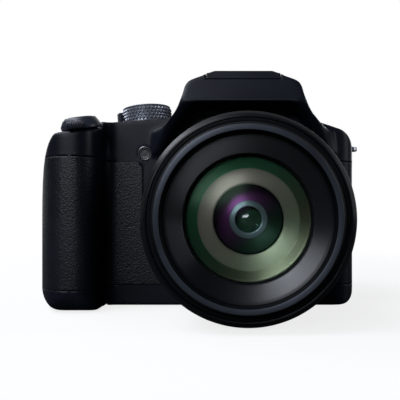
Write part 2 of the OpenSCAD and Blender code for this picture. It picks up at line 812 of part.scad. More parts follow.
module eyecup() {
  color(leather_black) translate([hump_x, 0, finder_z]) difference() {
    along_y(finder_y, finder_y + eyecup_d) rounded(finder_w, finder_h + 4, 7);
    along_y(finder_y - over, finder_y + eyecup_d + over) rounded(finder_w - 10, finder_h - 4, 6);
  }
}
module eyepiece_lens() {
  color(glass_tint) translate([hump_x, 0, finder_z - lens_z])
    turned(lens_points(finder_bore, rear_y + 0.4, 1.4, finder_y - 0.4, 1.4));
}
module evf_display() {
  color("#14161c")
    block(hump_x - 6, hump_x + 6, finder_depth, finder_depth + 3, finder_z - 4.5, finder_z + 4.5);
}
module diopter_dial() {
  color(dark_plastic) translate([hump_x - finder_w / 2 - gap, diopter_y, finder_z]) {
    rotate([0, -90, 0]) cylinder(r = diopter_r, h = diopter_t);
    translate([-diopter_t / 2, 0, 0]) rotate([0, 90, 0]) cylinder(r = diopter_pin_r, h = 5.5);
  }
}

// Flash head: a lid in the crown, a lamp house under it and a knuckle on the hinge
flash_body_half = flash_half - 1.2;
lamp_half = flash_body_half - 2.4;
lamp_z0 = flash_low + 1.1;
lamp_z1 = flash_seam - 0.3;
lamp_depth = 5;
module flash_head() {
  color(body_black) difference() {
    union() {
      intersection() {
        union() {
          block(hump_x - flash_half, hump_x + flash_half, -grip_y, flash_pivot_y,
            flash_seam + lid_gap, hump_z);
          flash_rod(flash_knuckle, flash_half);
        }
        hump_form();
        union() {
          along_x(-grip_x, right_x) polygon(brow_side());
          block(-grip_x, right_x, -panel_y, rear_y, seam_z, hump_z);
        }
      }
      block(hump_x - flash_body_half, hump_x + flash_body_half, flash_front, flash_pivot_y - 6,
        flash_low, flash_seam + gap);
    }
    flash_rod(flash_pin_r + run_gap, flash_half + over);
    block(hump_x - lamp_half, hump_x + lamp_half, flash_front - over, flash_front + lamp_depth,
      lamp_z0, lamp_z1);
  }
}
module flash_window() {
  color("#d8dde0") block(hump_x - lamp_half - 1, hump_x + lamp_half + 1,
    flash_front - flash_window_t, flash_front, lamp_z0 - 0.6, lamp_z1 + 0.2);
}
module flash_tube() {
  color("#c9ced6") translate([hump_x - lamp_half, flash_front + lamp_depth / 2, (lamp_z0 + lamp_z1) / 2])
    rotate([0, 90, 0]) cylinder(r = 1.2, h = 2 * lamp_half);
}
module flash_hinge_pin() {
  color(bright_metal) flash_rod(flash_pin_r, flash_pin_half);
}
module flash_capacitor() {
  color("#30343c") translate([capacitor_at[0], board_y - capacitor_r - 0.1, capacitor_at[1]])
    cylinder(r = capacitor_r, h = capacitor_h);
}

// A push button along Z: its cap, and the flange that keeps it under a deck of height z and thickness t
module deck_button(at, r, z, t) {
  translate([at[0], at[1], z - t - 1.8]) {
    cylinder(r = r, h = t + 1.8 + button_out);
    cylinder(r = r + 0.9, h = 0.8);
  }
}
// A push button along Y in the back wall
module back_button(at, r) {
  rod_y(at[0], at[1], r, rear_y - wall - gap, rear_y + button_out);
  rod_y(at[0], at[1], r + 0.9, rear_y - wall - gap - 0.8, rear_y - wall - gap);
}
module flash_button() {
  color(body_black) deck_button(flash_button_at, flash_button_r, shoulder_z + 1.3, wall + 0.6);
}
module movie_button() {
  color("#5a1518") deck_button(movie_at, movie_r, deck_z(movie_at[0]), wall + 0.4);
}
module lvf_button() {
  color(body_black) back_button(lvf_at, button_r);
}
module af_lock_button() {
  color(body_black) back_button(af_lock_at, button_r);
}
module play_button() {
  color(body_black) back_button(play_at, button_r);
}
module display_button() {
  color(body_black) back_button(display_at, button_r);
}
module menu_button() {
  color(body_black) back_button(menu_at, button_r);
}
module cursor_pad() {
  color(body_black) difference() {
    back_button(cursor_at, cursor_r);
    rod_y(cursor_at[0], cursor_at[1], set_r + gap, rear_y - 3 * wall, rear_y + wall);
  }
}
module set_button() {
  color(body_black) rod_y(cursor_at[0], cursor_at[1], set_r, rear_y - wall - gap - 1.4, rear_y + button_out);
}

module mode_dial() {
  color(metal_grey) dial_frame() {
    translate([0, 0, power_t + gap]) cylinder(r = dial_r, h = dial_h);
    translate([0, 0, -6.5]) cylinder(r = shaft_r, h = 7 + power_t);
  }
}
module power_lever() {
  color(dark_plastic) dial_frame() translate([0, 0, 0.15]) difference() {
    union() {
      cylinder(r = dial_r - 0.6, h = power_t);
      rotate([0, 0, 205]) {
        translate([6, -1.6, 0]) cube([dial_r - 3.7, 3.2, power_t]);
        translate([dial_r + 0.4, -1.6, 0]) cube([1.9, 3.2, dial_h - 1.2]);
      }
    }
    translate([0, 0, -over]) cylinder(r = shaft_r + gap, h = power_t + 2 * over);
  }
}
module zoom_lever() {
  color(dark_plastic) platform_frame() translate([0, 0, gap]) difference() {
    union() {
      rotate_extrude() polygon([[0, 0], [lever_r, 0], [lever_r, 0.2 * lever_h],
        [lever_r - 0.6, 0.52 * lever_h], [lever_r - 1.3, 0.77 * lever_h], [lever_r - 2, lever_h],
        [0, lever_h]]);
      translate([-3.2, -lever_r - 2.2, 0]) cube([6.4, lever_r / 2 + 1, lever_h - 1.2]);
    }
    translate([0, 0, -over]) cylinder(r = collar_r + 0.6 + run_gap, h = lever_h + 2 * over);
  }
}
module shutter_button() {
  color(metal_grey) platform_frame() {
    translate([0, 0, lever_h + gap - cap_sink]) cylinder(r = shutter_r, h = 1.2);
    translate([0, 0, -stem_depth]) cylinder(r = stem_r, h = stem_depth + 0.6 + lever_h - cap_sink);
  }
}
module rear_dial() {
  color(dark_plastic) translate([rear_dial_x, rear_dial_y, rear_dial_z]) difference() {
    cylinder(r = rear_dial_r, h = rear_dial_t);
    translate([0, 0, -over]) cylinder(r = rear_pin_r + run_gap, h = rear_dial_t + 2 * over);
  }
}
module af_lamp() {
  color("#7a4a30") rod_y(lamp_at[0], lamp_at[1], lamp_r, -panel_y - 0.5, flange_y);
}

module lens_base() {
  color(dark_plastic) {
    tube_y(base_spigot_r - spigot_t, base_spigot_r, -panel_y, flange_y);
    difference() {
      block(-34, 34, flange_y, flange_y + flange_t, lens_z - 28, lens_z + 28);
      rod_y(0, lens_z, rear_tube_r0, flange_y - over, flange_y + flange_t + over);
    }
    tube_y(rear_tube_r0, rear_tube_r1, flange_y + flange_t, sensor_y);
  }
}
module fixed_barrel() {
  rim = 2.2;
  color(body_black) turned([[zoom_r1 + gap, -barrel_front], [barrel_r - 1.6, -barrel_front],
    [barrel_r, rim - barrel_front], [barrel_r, -panel_y], [base_spigot_r - spigot_t, -panel_y],
    [base_spigot_r - spigot_t, -panel_y - spigot_t], [barrel_r - tube_t, -panel_y - spigot_t],
    [barrel_r - tube_t, 2.3 - barrel_front], [zoom_r1 + gap, 2.3 - barrel_front]]);
}
module cam_ring() {
  color(bright_metal) tube_y(cam_r0, cam_r1, 3 - barrel_front, tube_rear);
}

// Inner lens cell that the zoom barrel carries on a web
cell_r = glass_r * 12 / 20.3;
cell_set = 22.2;
cell_l = 19;
cell_front = nose_front + cell_set;
cell_web = cell_front + cell_l;
module zoom_barrel() {
  color(dark_plastic) turned([[zoom_r0, zoom_front], [zoom_r1, zoom_front], [zoom_r1, tube_rear],
    [zoom_r0, tube_rear], [zoom_r0, cell_web + 2], [cell_r, cell_web + 2], [cell_r, cell_front],
    [cell_r + 2, cell_front], [cell_r + 2, cell_web], [zoom_r0, cell_web]]);
}

// Front barrel: thread in its nose, a seat for the name ring, and the cell of the front glass
thread_l = 3.8;
seat_r = thread_r - 0.5;
seat_depth = 8.2;
seat_y = nose_front + seat_depth;
ring_t = 4.2;
glass_t = 4;
glass_rear = seat_y + glass_t;
glass_sag = 3.6;
retainer_l = 8;
retainer_rear = glass_rear + retainer_l;
nose_shelf = 2.5;
nose_rear = cell_web - nose_shelf;
module front_barrel() {
  color(metal_grey) turned([[thread_r, nose_front], [thread_r + 1.7, nose_front], [nose_r1, nose_front + 2.2],
    [nose_r1, nose_rear], [nose_r1 - tube_t, nose_rear], [nose_r1 - tube_t, seat_y + nose_shelf],
    [glass_r + 1.6, seat_y + nose_shelf], [glass_r + 1.6, retainer_rear], [glass_r + 0.1, retainer_rear],
    [glass_r + 0.1, seat_y], [seat_r, seat_y], [seat_r, nose_front + thread_l],
    [thread_r, nose_front + thread_l]]);
}
module name_ring() {
  color(dark_plastic) turned([[glass_r + 0.7, seat_y - 1.2], [seat_r - 1.2, seat_y - ring_t],
    [seat_r - 0.1, seat_y - ring_t], [seat_r - 0.1, seat_y], [glass_r + 0.7, seat_y]]);
}
module front_lens() {
  color(glass_tint) turned(lens_points(glass_r, seat_y - 0.8 - glass_sag, glass_sag, glass_rear, 0));
}
module lens_retainer() {
  color("#6f755f") turned([[glass_r + 0.1, glass_rear], [glass_r + 0.1, retainer_rear],
    [cell_r, retainer_rear], [cell_r, retainer_rear - 1.4], [glass_r - 0.6, glass_rear]]);
}
module second_lens() {
  color(glass_tint) turned(lens_points(cell_r, cell_front + 0.4, 4, cell_front + 8, 0));
}
module rear_lens() {
  color(glass_tint) turned(lens_points(rear_tube_r0, flange_y + 0.5, 1.6, flange_y + 7.5, 1.6));
}
module zoom_motor() {
  color(metal_grey) rod_y(26, lens_z - 21, 5, flange_y + flange_t, flange_y + flange_t + 19);
}

bottom_cover();
front_cover();
rear_cover();
top_cover();
grip_leatherette();
thumb_rest();
chassis();
case_screws();
tripod_socket();
strap_lugs();
main_board();
sensor_board();
image_sensor();
battery_door();
battery_door_pin();
battery_latch();
battery();
battery_holder();
memory_card();
port_door();
usb_socket();
hdmi_socket();
lcd_panel();
lcd_window();
eyecup();
eyepiece_lens();
evf_display();
diopter_dial();
flash_head();
flash_window();
flash_tube();
flash_hinge_pin();
flash_button();
flash_capacitor();
af_lamp();
mode_dial();
power_lever();
zoom_lever();
shutter_button();
movie_button();
rear_dial();
lvf_button();
af_lock_button();
play_button();
display_button();
menu_button();
cursor_pad();
set_button();
lens_base();
fixed_barrel();
cam_ring();
zoom_barrel();
front_barrel();
name_ring();
front_lens();
lens_retainer();
second_lens();
rear_lens();
zoom_motor();
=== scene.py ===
"""Looks of a long-zoom bridge camera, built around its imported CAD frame.

Metres, in the CAD frame: the lens faces -Y, +Z is up, and the tripod socket's mouth is the origin.
Sizes in the classes are millimetres, apart from the studio's floor and lamps.
"""

import json
import logging
import math
from dataclasses import dataclass
from enum import Enum
from typing import Callable, Iterable, Sequence

import bmesh
import bpy
from bmesh.types import BMesh
from bpy.types import Material, Node, NodeSocket, NodeTree, Object, World
from mathutils import Matrix, Vector
from mathutils.bvhtree import BVHTree


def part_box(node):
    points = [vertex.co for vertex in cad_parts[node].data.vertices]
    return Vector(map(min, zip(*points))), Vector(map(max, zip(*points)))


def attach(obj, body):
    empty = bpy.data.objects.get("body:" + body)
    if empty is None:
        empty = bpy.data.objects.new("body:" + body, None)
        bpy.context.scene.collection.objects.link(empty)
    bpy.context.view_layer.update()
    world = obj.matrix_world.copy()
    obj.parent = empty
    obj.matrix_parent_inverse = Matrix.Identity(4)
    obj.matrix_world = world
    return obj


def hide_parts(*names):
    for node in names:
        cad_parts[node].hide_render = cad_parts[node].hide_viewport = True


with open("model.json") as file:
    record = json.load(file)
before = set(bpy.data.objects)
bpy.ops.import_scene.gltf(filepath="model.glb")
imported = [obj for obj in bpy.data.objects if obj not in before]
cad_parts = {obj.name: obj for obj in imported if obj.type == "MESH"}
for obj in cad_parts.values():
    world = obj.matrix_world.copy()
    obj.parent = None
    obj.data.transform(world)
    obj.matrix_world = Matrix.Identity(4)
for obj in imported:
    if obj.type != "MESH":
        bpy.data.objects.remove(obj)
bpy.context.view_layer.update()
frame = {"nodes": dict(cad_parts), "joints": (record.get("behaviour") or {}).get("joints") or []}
LID_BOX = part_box("flash_head")

LOG = logging.getLogger("bridge_camera")
MM = 0.001
LENS_Z = 35.5
REAR_Y = 22.0
PANEL_Y = -24.0
TRAY_H = 8.5
SEAM_Z = 59.5
SPLIT_Y = 6.0
HUMP_X = -2.0
LENS_STEPS = 192
MOULDED_SHARP = 80.0
# Between these lie nearly all values of a noise texture.
NOISE_SPAN = {"From Min": 0.3, "From Max": 0.7}
# Towards the lower right as the camera sees it: the way the painted reflection on turned rings changes
# colour
LOWER_RIGHT = (0.7, 0, -0.7)


class Axis(Enum):
    """The main axes, as the names that Matrix.Rotation takes."""

    X = "X"
    Y = "Y"
    Z = "Z"


def turn(degrees: float, axis: Axis) -> Matrix:
    """Returns a rotation of so many degrees about a main axis."""
    return Matrix.Rotation(math.radians(degrees), 4, axis.value)


def place(x: float, y: float, z: float) -> Matrix:
    """Returns a shift by millimetres."""
    return Matrix.Translation(Vector((x, y, z)) * MM)


def joint_frame(name: str) -> Matrix:
    """Works out a frame at a joint, with its local Z along the joint's axis.

    Args:
        name: The joint's name in the record.

    Returns:
        The frame, in metres.
    """
    joint = next(j for j in frame["joints"] if j["name"] == name)
    lean = Vector((0, 0, 1)).rotation_difference(Vector(joint["axis"]))
    return Matrix.Translation(joint["pos_m"]) @ lean.to_matrix().to_4x4()


# Local Z of each frame is the axis that its pieces are turned about.
HERE = Matrix.Identity(4)
LENS_FRAME = place(0, 0, LENS_Z) @ turn(-90, Axis.X)
DIAL_FRAME = joint_frame("mode_dial_turn")
SHUTTER_FRAME = joint_frame("zoom_lever_turn")


def back_frame(x: float, z: float) -> Matrix:
    """Returns the frame of a back control, with its local Z out of the back face."""
    return place(x, REAR_Y, z) @ turn(-90, Axis.X)


def linear(color: str) -> tuple[float, float, float, float]:
    """Turns an sRGB hex colour to linear red, green, blue and an alpha of 1.

    Args:
        color: Six hex digits after a hash sign.

    Returns:
        Four numbers for a colour socket.
    """
    parts = [int(color[i:i + 2], 16) / 255 for i in (1, 3, 5)]
    red, green, blue = (c / 12.92 if c <= 0.04045 else ((c + 0.055) / 1.055) ** 2.4 for c in parts)
    return red, green, blue, 1.0


def cleared(owner: Material | World) -> NodeTree:
    """Turns on the nodes of a material or a world and empties its tree.

    Args:
        owner: The material or world.

    Returns:
        Its empty node tree.
    """
    owner.use_nodes = True
    owner.node_tree.nodes.clear()
    return owner.node_tree


def add_node(tree: NodeTree, kind: str, inputs: dict[str | int, object] | None = None,
             **settings: object) -> Node:
    """Adds one shader node with its settings and links.

    Args:
        tree: The node tree that takes it.
        kind: Blender's type name for the node.
        inputs: Socket name or number to a constant, or to the output socket that feeds it.
        settings: Properties of the node.

    Returns:
        The new node.
    """
    node = tree.nodes.new(kind)
    for key, value in settings.items():
        setattr(node, key, value)
    for key, value in (inputs or {}).items():
        if isinstance(value, NodeSocket):
            tree.links.new(value, node.inputs[key])
        else:
            node.inputs[key].default_value = value
    return node


def per_mm(size: float) -> float:
    """Returns the texture scale at which a pattern repeats every so many millimetres."""
    return 1 / (size * MM)


@dataclass(frozen=True)
class Finish:
    """A solid finish: a colour that drifts a little, a gloss that drifts with it, and a fine grain."""

    name: str
    color: str
    roughness: float
    metallic: float = 0.0
    specular: float = 0.5
    drift: float = 0.25
    drift_mm: float = 16.0
    # Real grain is finer than this and wouldn't show, so it is drawn as coarse as it needs to be.
    grain_mm: float = 0.45
    grain_depth_mm: float = 0.012

    def material(self) -> Material:
        """Makes this finish's material at its first use.

        Returns:
            The material.
        """
        found = bpy.data.materials.get(self.name)
        if found:
            return found
        made = bpy.data.materials.new(self.name)
        tree = cleared(made)
        surface = self.shader(tree, add_node(tree, "ShaderNodeTexCoord").outputs["Object"])
        add_node(tree, "ShaderNodeOutputMaterial", {"Surface": surface})
        return made

    def drifting(self, tree: NodeTree, coords: NodeSocket) -> tuple:
        """Adds the slow drift of colour and gloss.

        Args:
            tree: The material's node tree.
            coords: Object coordinates.

        Returns:
            The colour and the roughness, as output sockets or constants.
        """
        noise = add_node(tree, "ShaderNodeTexNoise",
                         {"Vector": coords, "Scale": per_mm(self.drift_mm), "Detail": 4.0}).outputs["Fac"]
        shade = add_node(tree, "ShaderNodeMapRange",
                         {"Value": noise, **NOISE_SPAN, "To Min": 1 - self.drift, "To Max": 1 + self.drift})
        tint = add_node(tree, "ShaderNodeVectorMath",
                        {0: linear(self.color)[:3], "Scale": shade.outputs["Result"]}, operation="SCALE")
        sway = self.drift / 3
        gloss = add_node(tree, "ShaderNodeMapRange",
                         {"Value": noise, **NOISE_SPAN, "To Min": self.roughness * (1 - sway),
                          "To Max": min(1.0, self.roughness * (1 + sway))})
        return tint.outputs["Vector"], gloss.outputs["Result"]

    def relief(self, tree: NodeTree, coords: NodeSocket) -> NodeSocket:
        """Returns the height of the surface's grain."""
        return add_node(tree, "ShaderNodeTexNoise",
                        {"Vector": coords, "Scale": per_mm(self.grain_mm), "Detail": 3.0,
                         "Roughness": 0.6}).outputs["Fac"]

    def sheen_inputs(self, tree: NodeTree, coords: NodeSocket) -> dict[str, object]:
        """Returns further inputs of the surface shader; a plain finish has none."""
        return {}

    def shader(self, tree: NodeTree, coords: NodeSocket) -> NodeSocket:
        """Builds the surface shader.

        Args:
            tree: The material's node tree.
            coords: Object coordinates.

        Returns:
            The shader's output socket.
        """
        tint, gloss = self.drifting(tree, coords)
        bump = add_node(tree, "ShaderNodeBump",
                        {"Height": self.relief(tree, coords), "Strength": 1.0,
                         "Distance": self.grain_depth_mm * MM})
        inputs = {"Base Color": tint, "Roughness": gloss, "Metallic": self.metallic,
                  "Specular IOR Level": self.specular, "Normal": bump.outputs["Normal"]}
        inputs.update(self.sheen_inputs(tree, coords))
        return add_node(tree, "ShaderNodeBsdfPrincipled", inputs).outputs["BSDF"]


@dataclass(frozen=True)
class Leather(Finish):
    """Embossed skin: rounded pebbles with creases between them, over a fine grain."""

    pebble_mm: float = 1.0

    def relief(self, tree: NodeTree, coords: NodeSocket) -> NodeSocket:
        """Builds the height of the pebbles, their creases and the fine grain.

        Args:
            tree: The material's node tree.
            coords: Object coordinates.

        Returns:
            The height's output socket.
        """
        wobble = add_node(tree, "ShaderNodeTexNoise",
                          {"Vector": coords, "Scale": per_mm(self.pebble_mm * 2), "Detail": 1.0})
        bent = add_node(tree, "ShaderNodeVectorMath",
                        {0: wobble.outputs["Color"], 1: (self.pebble_mm * 0.6 * MM,) * 3, 2: coords},
                        operation="MULTIPLY_ADD")
        pebbles = add_node(tree, "ShaderNodeTexVoronoi",
                           {"Vector": bent.outputs["Vector"], "Scale": per_mm(self.pebble_mm)},
                           feature="SMOOTH_F1")
        crown = add_node(tree, "ShaderNodeMapRange",
                         {"Value": pebbles.outputs["Distance"], "From Min": 0.15, "From Max": 0.75,
                          "To Min": 1.0, "To Max": 0.0})
        fine_share = 0.3
        return add_node(tree, "ShaderNodeMath",
                        {0: Finish.relief(self, tree, coords), 1: fine_share, 2: crown.outputs["Result"]},
                        operation="MULTIPLY_ADD").outputs[0]


@dataclass(frozen=True)
class Turned(Finish):
    """A lathe-turned or ring-moulded surface: rings about the lens axis, whose sheen fans out from it."""

    # Real tool marks are finer than this and wouldn't show, so they are drawn coarser.
    ring_mm: float = 0.5
    fan: float = 0.0

    def across_rings(self, tree: NodeTree, coords: NodeSocket) -> NodeSocket:
        """Returns the vector from the lens axis to the surface."""
        centred = add_node(tree, "ShaderNodeMapping", {"Vector": coords, "Location": (0, 0, -LENS_Z * MM)})
        return add_node(tree, "ShaderNodeVectorMath", {0: centred.outputs["Vector"], 1: (1, 0, 1)},
                        operation="MULTIPLY").outputs["Vector"]

    def relief(self, tree: NodeTree, coords: NodeSocket) -> NodeSocket:
        """Returns the height of the rings."""
        return add_node(tree, "ShaderNodeTexWave",
                        {"Vector": self.across_rings(tree, coords), "Distortion": 0.4, "Detail": 1.0,
                         "Scale": per_mm(self.ring_mm) * math.tau / 20},
                        wave_type="RINGS", rings_direction="SPHERICAL").outputs["Fac"]

    def sheen_inputs(self, tree: NodeTree, coords: NodeSocket) -> dict[str, object]:
        """Returns the inputs that stretch the highlight across the rings."""
        return {"Anisotropic": self.fan, "Tangent": self.across_rings(tree, coords)}


@dataclass(frozen=True)
class PaintedReflectionRings(Turned):
    """Turned rings with painted reflection of the coatings, whose colour shifts from the upper left to the
    lower right.
    """

    lower_right_painted_color: str = "#000000"
    reach_mm: float = 7.0

    def drifting(self, tree: NodeTree, coords: NodeSocket) -> tuple:
        """Adds the painted reflection, a colour that shifts from the upper left to the lower right, with an
        even gloss.

        Args:
            tree: The material's node tree.
            coords: Object coordinates.

        Returns:
            The colour's output socket and the roughness.
        """
        along = add_node(tree, "ShaderNodeVectorMath",
                         {0: self.across_rings(tree, coords), 1: LOWER_RIGHT}, operation="DOT_PRODUCT")
        reach = self.reach_mm * MM
        share = add_node(tree, "ShaderNodeMapRange",
                         {"Value": along.outputs["Value"], "From Min": -reach, "From Max": reach},
                         interpolation_type="SMOOTHSTEP")
        tint = add_node(tree, "ShaderNodeMix",
                        {"Factor": share.outputs["Result"], 6: linear(self.color),
                         7: linear(self.lower_right_painted_color)}, data_type="RGBA")
        return tint.outputs[2], self.roughness


@dataclass(frozen=True)
class CoatedGlass(Finish):
    """Clear glass under a coloured coating: it lets light through, and mirrors more at a slant."""

    mirror: float = 0.12

    def shader(self, tree: NodeTree, coords: NodeSocket) -> NodeSocket:
        """Builds the surface shader.

        Args:
            tree: The material's node tree.
            coords: Object coordinates.

        Returns:
            The shader's output socket.
        """
        tint, gloss = self.drifting(tree, coords)
        clear = add_node(tree, "ShaderNodeBsdfTransparent")
        coat = add_node(tree, "ShaderNodeBsdfPrincipled",
                        {"Base Color": tint, "Roughness": gloss, "Metallic": 1.0})
        slant = add_node(tree, "ShaderNodeLayerWeight", {"Blend": 0.25})
        share = add_node(tree, "ShaderNodeMapRange",
                         {"Value": slant.outputs["Facing"], "To Min": self.mirror,
                          "To Max": min(1.0, self.mirror * 4)})
        return add_node(tree, "ShaderNodeMixShader",
                        {0: share.outputs["Result"], 1: clear.outputs["BSDF"],
                         2: coat.outputs["BSDF"]}).outputs["Shader"]


# Spark-eroded ABS: near-black with a blue cast and a soft satin sheen
BODY_ABS = Finish("satin_black_abs", "#0b0e16", 0.42, specular=0.13, grain_mm=0.5, grain_depth_mm=0.007)
# The same resin from a smoother tool, on buttons and small trim
TRIM_ABS = Finish("smooth_black_abs", "#20232c", 0.38, specular=0.32, grain_mm=0.7, grain_depth_mm=0.004)
# Embossed polyurethane skin: dull pebbles whose crowns catch the light
GRIP_SKIN = Leather("embossed_black_leatherette", "#0a0d13", 0.42, specular=0.22, grain_mm=0.3,
                    grain_depth_mm=0.07, pebble_mm=0.64)
# Silicone rubber: matt, with almost no highlight
RUBBER = Finish("matt_black_silicone_rubber", "#111214", 0.75, specular=0.3, grain_mm=0.8)
# Moulded polycarbonate of the fixed barrel: black, with a clear highlight on its rim
TUBE_BLACK = Turned("ring_moulded_black_polycarbonate", "#040508", 0.36, specular=0.2, grain_depth_mm=0.002,
                    fan=0.75)
# Matt black anodising of the sliding tubes and the throat of the lens
THROAT_BLACK = Turned("matt_black_anodised_aluminium", "#030406", 0.6, specular=0.06, grain_depth_mm=0.004)
# Face of the filter ring: satin grey paint over turned aluminium
FILTER_GREY = Turned("satin_grey_painted_ring", "#2c3038", 0.4, metallic=0.5, grain_depth_mm=0.002,
                     ring_mm=0.4, fan=0.6)
# Name ring: satin black paint on a turned cone, so that the light fans out across it
RING_BLACK = Turned("satin_black_turned_ring", "#030407", 0.4, specular=0.8, grain_depth_mm=0.002, fan=0.97)
# Knurled aluminium of the dials: bead-blasted grey with bright crests
DIAL_GREY = Finish("bead_blasted_grey_aluminium", "#7c7f88", 0.36, metallic=0.4, grain_mm=0.3,
                   grain_depth_mm=0.004)
# Turned cell behind the front glass, with fans of light from its rings; its dull grey-green is painted
# reflection of the coatings, paler and warmer to the upper left
PAINTED_CELL_REFLECTION = PaintedReflectionRings("turned_cell_painted_reflection", "#b0a99a", 0.45, metallic=0.85, specular=0.4,
                        grain_depth_mm=0.003, ring_mm=0.8, fan=0.94, lower_right_painted_color="#7d8a70", reach_mm=12.0)
# Outer edge of that cell, also turned: its green is painted reflection of the coatings, turning olive
# towards the lower right
CELL_RIM = PaintedReflectionRings("turned_rim_painted_green_reflection", "#57a67d", 0.42, metallic=1.0, grain_depth_mm=0.003,
                      ring_mm=0.9, fan=0.95, lower_right_painted_color="#737d64", reach_mm=13.0)
# Baffle round the inner glass: black turned rings with painted reflection of the coatings, purple at the
# upper left and dark green opposite
BAFFLE = PaintedReflectionRings("turned_baffle_painted_purple_green_reflection", "#7d4482", 0.42, metallic=0.9, grain_depth_mm=0.006, ring_mm=0.9,
                    fan=0.94, lower_right_painted_color="#264232")
# Nickel-plated brass and stainless steel of the small fittings: bright, one warm and one cool
NICKEL = Finish("nickel_plated_brass", "#b9b6ad", 0.28, metallic=1.0, grain_mm=0.6, grain_depth_mm=0.003)
STEEL = Finish("rolled_stainless_steel", "#9a9ca0", 0.35, metallic=1.0, grain_mm=0.4, grain_depth_mm=0.003)
# Screen-printed ink on the dial and the cursor pad: pale and flat
INK = Finish("pale_grey_printing_ink", "#c9ccd0", 0.6, drift=0.05)
# Moulded button of the movie control: a dull dark red
RED_ABS = Finish("dark_red_abs", "#6a1214", 0.3, grain_depth_mm=0.004)
# Smoked acrylic of the assist lamp: black until it lights
SMOKED = Finish("smoked_acrylic", "#0c0c0e", 0.28, specular=0.3, grain_depth_mm=0.0)
# Collar round it: the same resin as the trim, polished so that its edge draws a bright arc
POLISHED_ABS = Finish("polished_black_abs", "#14171e", 0.22, specular=0.7, grain_depth_mm=0.0)
# Monitor: black-printed acrylic, polished like a mirror
MONITOR_BLACK = Finish("polished_black_acrylic", "#050608", 0.06, specular=0.55, drift=0.1,
                       grain_depth_mm=0.0)
# Circuit boards under green lacquer, and the dull grey packs inside
SOLDER_MASK = Finish("green_solder_mask", "#1d4a30", 0.35, drift=0.4, drift_mm=6.0)
CELL_LABEL = Finish("grey_polycarbonate_pack", "#26292f", 0.45)
# Ribbed acrylic in front of the flash lamp: milky and shiny
LAMP_DIFFUSER = Finish("ribbed_clear_acrylic", "#c9cfd2", 0.15, specular=0.6, drift=0.1)
# Cover glass of the sensor and of the finder's display: deep blue, with sharp reflections
SENSOR_DARK = Finish("sensor_cover_glass", "#141c30", 0.05, specular=0.6, drift=0.3, drift_mm=4.0)
# Multi-layer coatings: what they mirror takes the coating's colour, softened by the many faces behind
FRONT_COAT = CoatedGlass("front_glass_green_coating", "#9cc4a2", 0.2, drift=0.1, mirror=0.006)
PURPLE_COAT = CoatedGlass("second_glass_purple_coating", "#8a4a96", 0.25, drift=0.1, mirror=0.004)
EYE_COAT = CoatedGlass("eyepiece_magenta_coating", "#8a6a90", 0.08, drift=0.1, mirror=0.03)
# Small element at the heart of the lens: deep green, with one bright glint
CORE_GREEN = Finish("deep_green_core_glass", "#1f3a2a", 0.09, specular=0.7, drift=0.3, drift_mm=3.0,
                    grain_depth_mm=0.0)
# Bright ring of the iris mount round it
PALE_RING = Turned("pale_turned_ring", "#708888", 0.42, metallic=0.8, specular=0.4, grain_depth_mm=0.003,
                   ring_mm=0.8, fan=0.8)


def add_object(name: str, data: bpy.types.ID) -> Object:
    """Adds an object to the scene.

    Args:
        name: Its name.
        data: The mesh, curve, lamp or camera that it shows.

    Returns:
        The new object.
    """
    made = bpy.data.objects.new(name, data)
    bpy.context.scene.collection.objects.link(made)
    return made


def dress(bm: BMesh, name: str, finish: Finish, body: str, replaces: Sequence[str] = (),
          sharp: float = 38.0) -> None:
    """Makes a bmesh a finished piece of the object and frees it.

    Args:
        bm: The mesh in place, in metres.
        name: The piece's name.
        finish: The finish it shows.
        body: The CAD body it rides on.
        replaces: CAD nodes that it stands for.
        sharp: Edges turned by more degrees than this stay crisp.
    """
    mesh = bpy.data.meshes.new(name)
    bm.to_mesh(mesh)
    bm.free()
    mesh.shade_smooth()
    mesh.set_sharp_from_angle(angle=math.radians(sharp))
    mesh.materials.append(finish.material())
    piece = add_object(name, mesh)
    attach(piece, body)
    if replaces:
        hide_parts(*replaces)
    LOG.info("%s: %d faces on %s", name, len(mesh.polygons), body)


def move(bm: BMesh, matrix: Matrix) -> None:
    """Moves a whole mesh by a matrix."""
    bmesh.ops.transform(bm, matrix=matrix, verts=bm.verts)


def revolve(points: Sequence[tuple[float, float]], spot: Matrix, corner: float = 0.2,
            steps: int = 128) -> BMesh:
    """Turns a closed half section about a frame's local Z axis.

    Args:
        points: Radius and height of each corner in millimetres, in order round the section.
        spot: The frame that the result is placed in.
        corner: Radius that every corner off the axis is rounded to, where it has room.
        steps: Steps of the full turn.

    Returns:
        A closed mesh with its faces outwards.
    """
    bm = bmesh.new()
    verts = [bm.verts.new((r * MM, 0, h * MM)) for r, h in points]
    for first, second in zip(verts, verts[1:] + verts[:1]):
        if first.co.x > 0 or second.co.x > 0:
            bm.edges.new((first, second))
    if corner:
        bends = [v for v in verts if v.co.x > 0]
        bmesh.ops.bevel(bm, geom=bends, offset=corner * MM, offset_type="OFFSET", affect="VERTICES",
                        segments=3, profile=0.5, material=-1, clamp_overlap=True)
    bmesh.ops.spin(bm, geom=bm.verts[:] + bm.edges[:], cent=(0, 0, 0), axis=(0, 0, 1),
                   angle=math.tau, steps=steps, use_merge=True)
    bmesh.ops.remove_doubles(bm, verts=bm.verts, dist=1e-6)
    bmesh.ops.recalc_face_normals(bm, faces=bm.faces)
    move(bm, spot)
    return bm


def add_bar(bm: BMesh, size: Sequence[float], spot: Matrix, bevel: float = 0.15) -> None:
    """Adds a block with rounded edges to a mesh.

    Args:
        bm: The mesh that takes it.
        size: Its three lengths in millimetres.
        spot: Where its centre goes.
        bevel: Radius of its edges in millimetres.
    """
    scale = Matrix.Diagonal((*(length * MM for length in size), 1))
    made = bmesh.ops.create_cube(bm, size=1.0, matrix=scale)["verts"]
    edges = list({e for v in made for e in v.link_edges})
    made = bmesh.ops.bevel(bm, geom=edges, offset=bevel * MM, offset_type="OFFSET", affect="EDGES",
                           segments=2, profile=0.5, material=-1, clamp_overlap=True)["verts"]
    made = list({v for start in made for f in start.link_faces for v in f.verts})
    bmesh.ops.transform(bm, matrix=spot, verts=made)


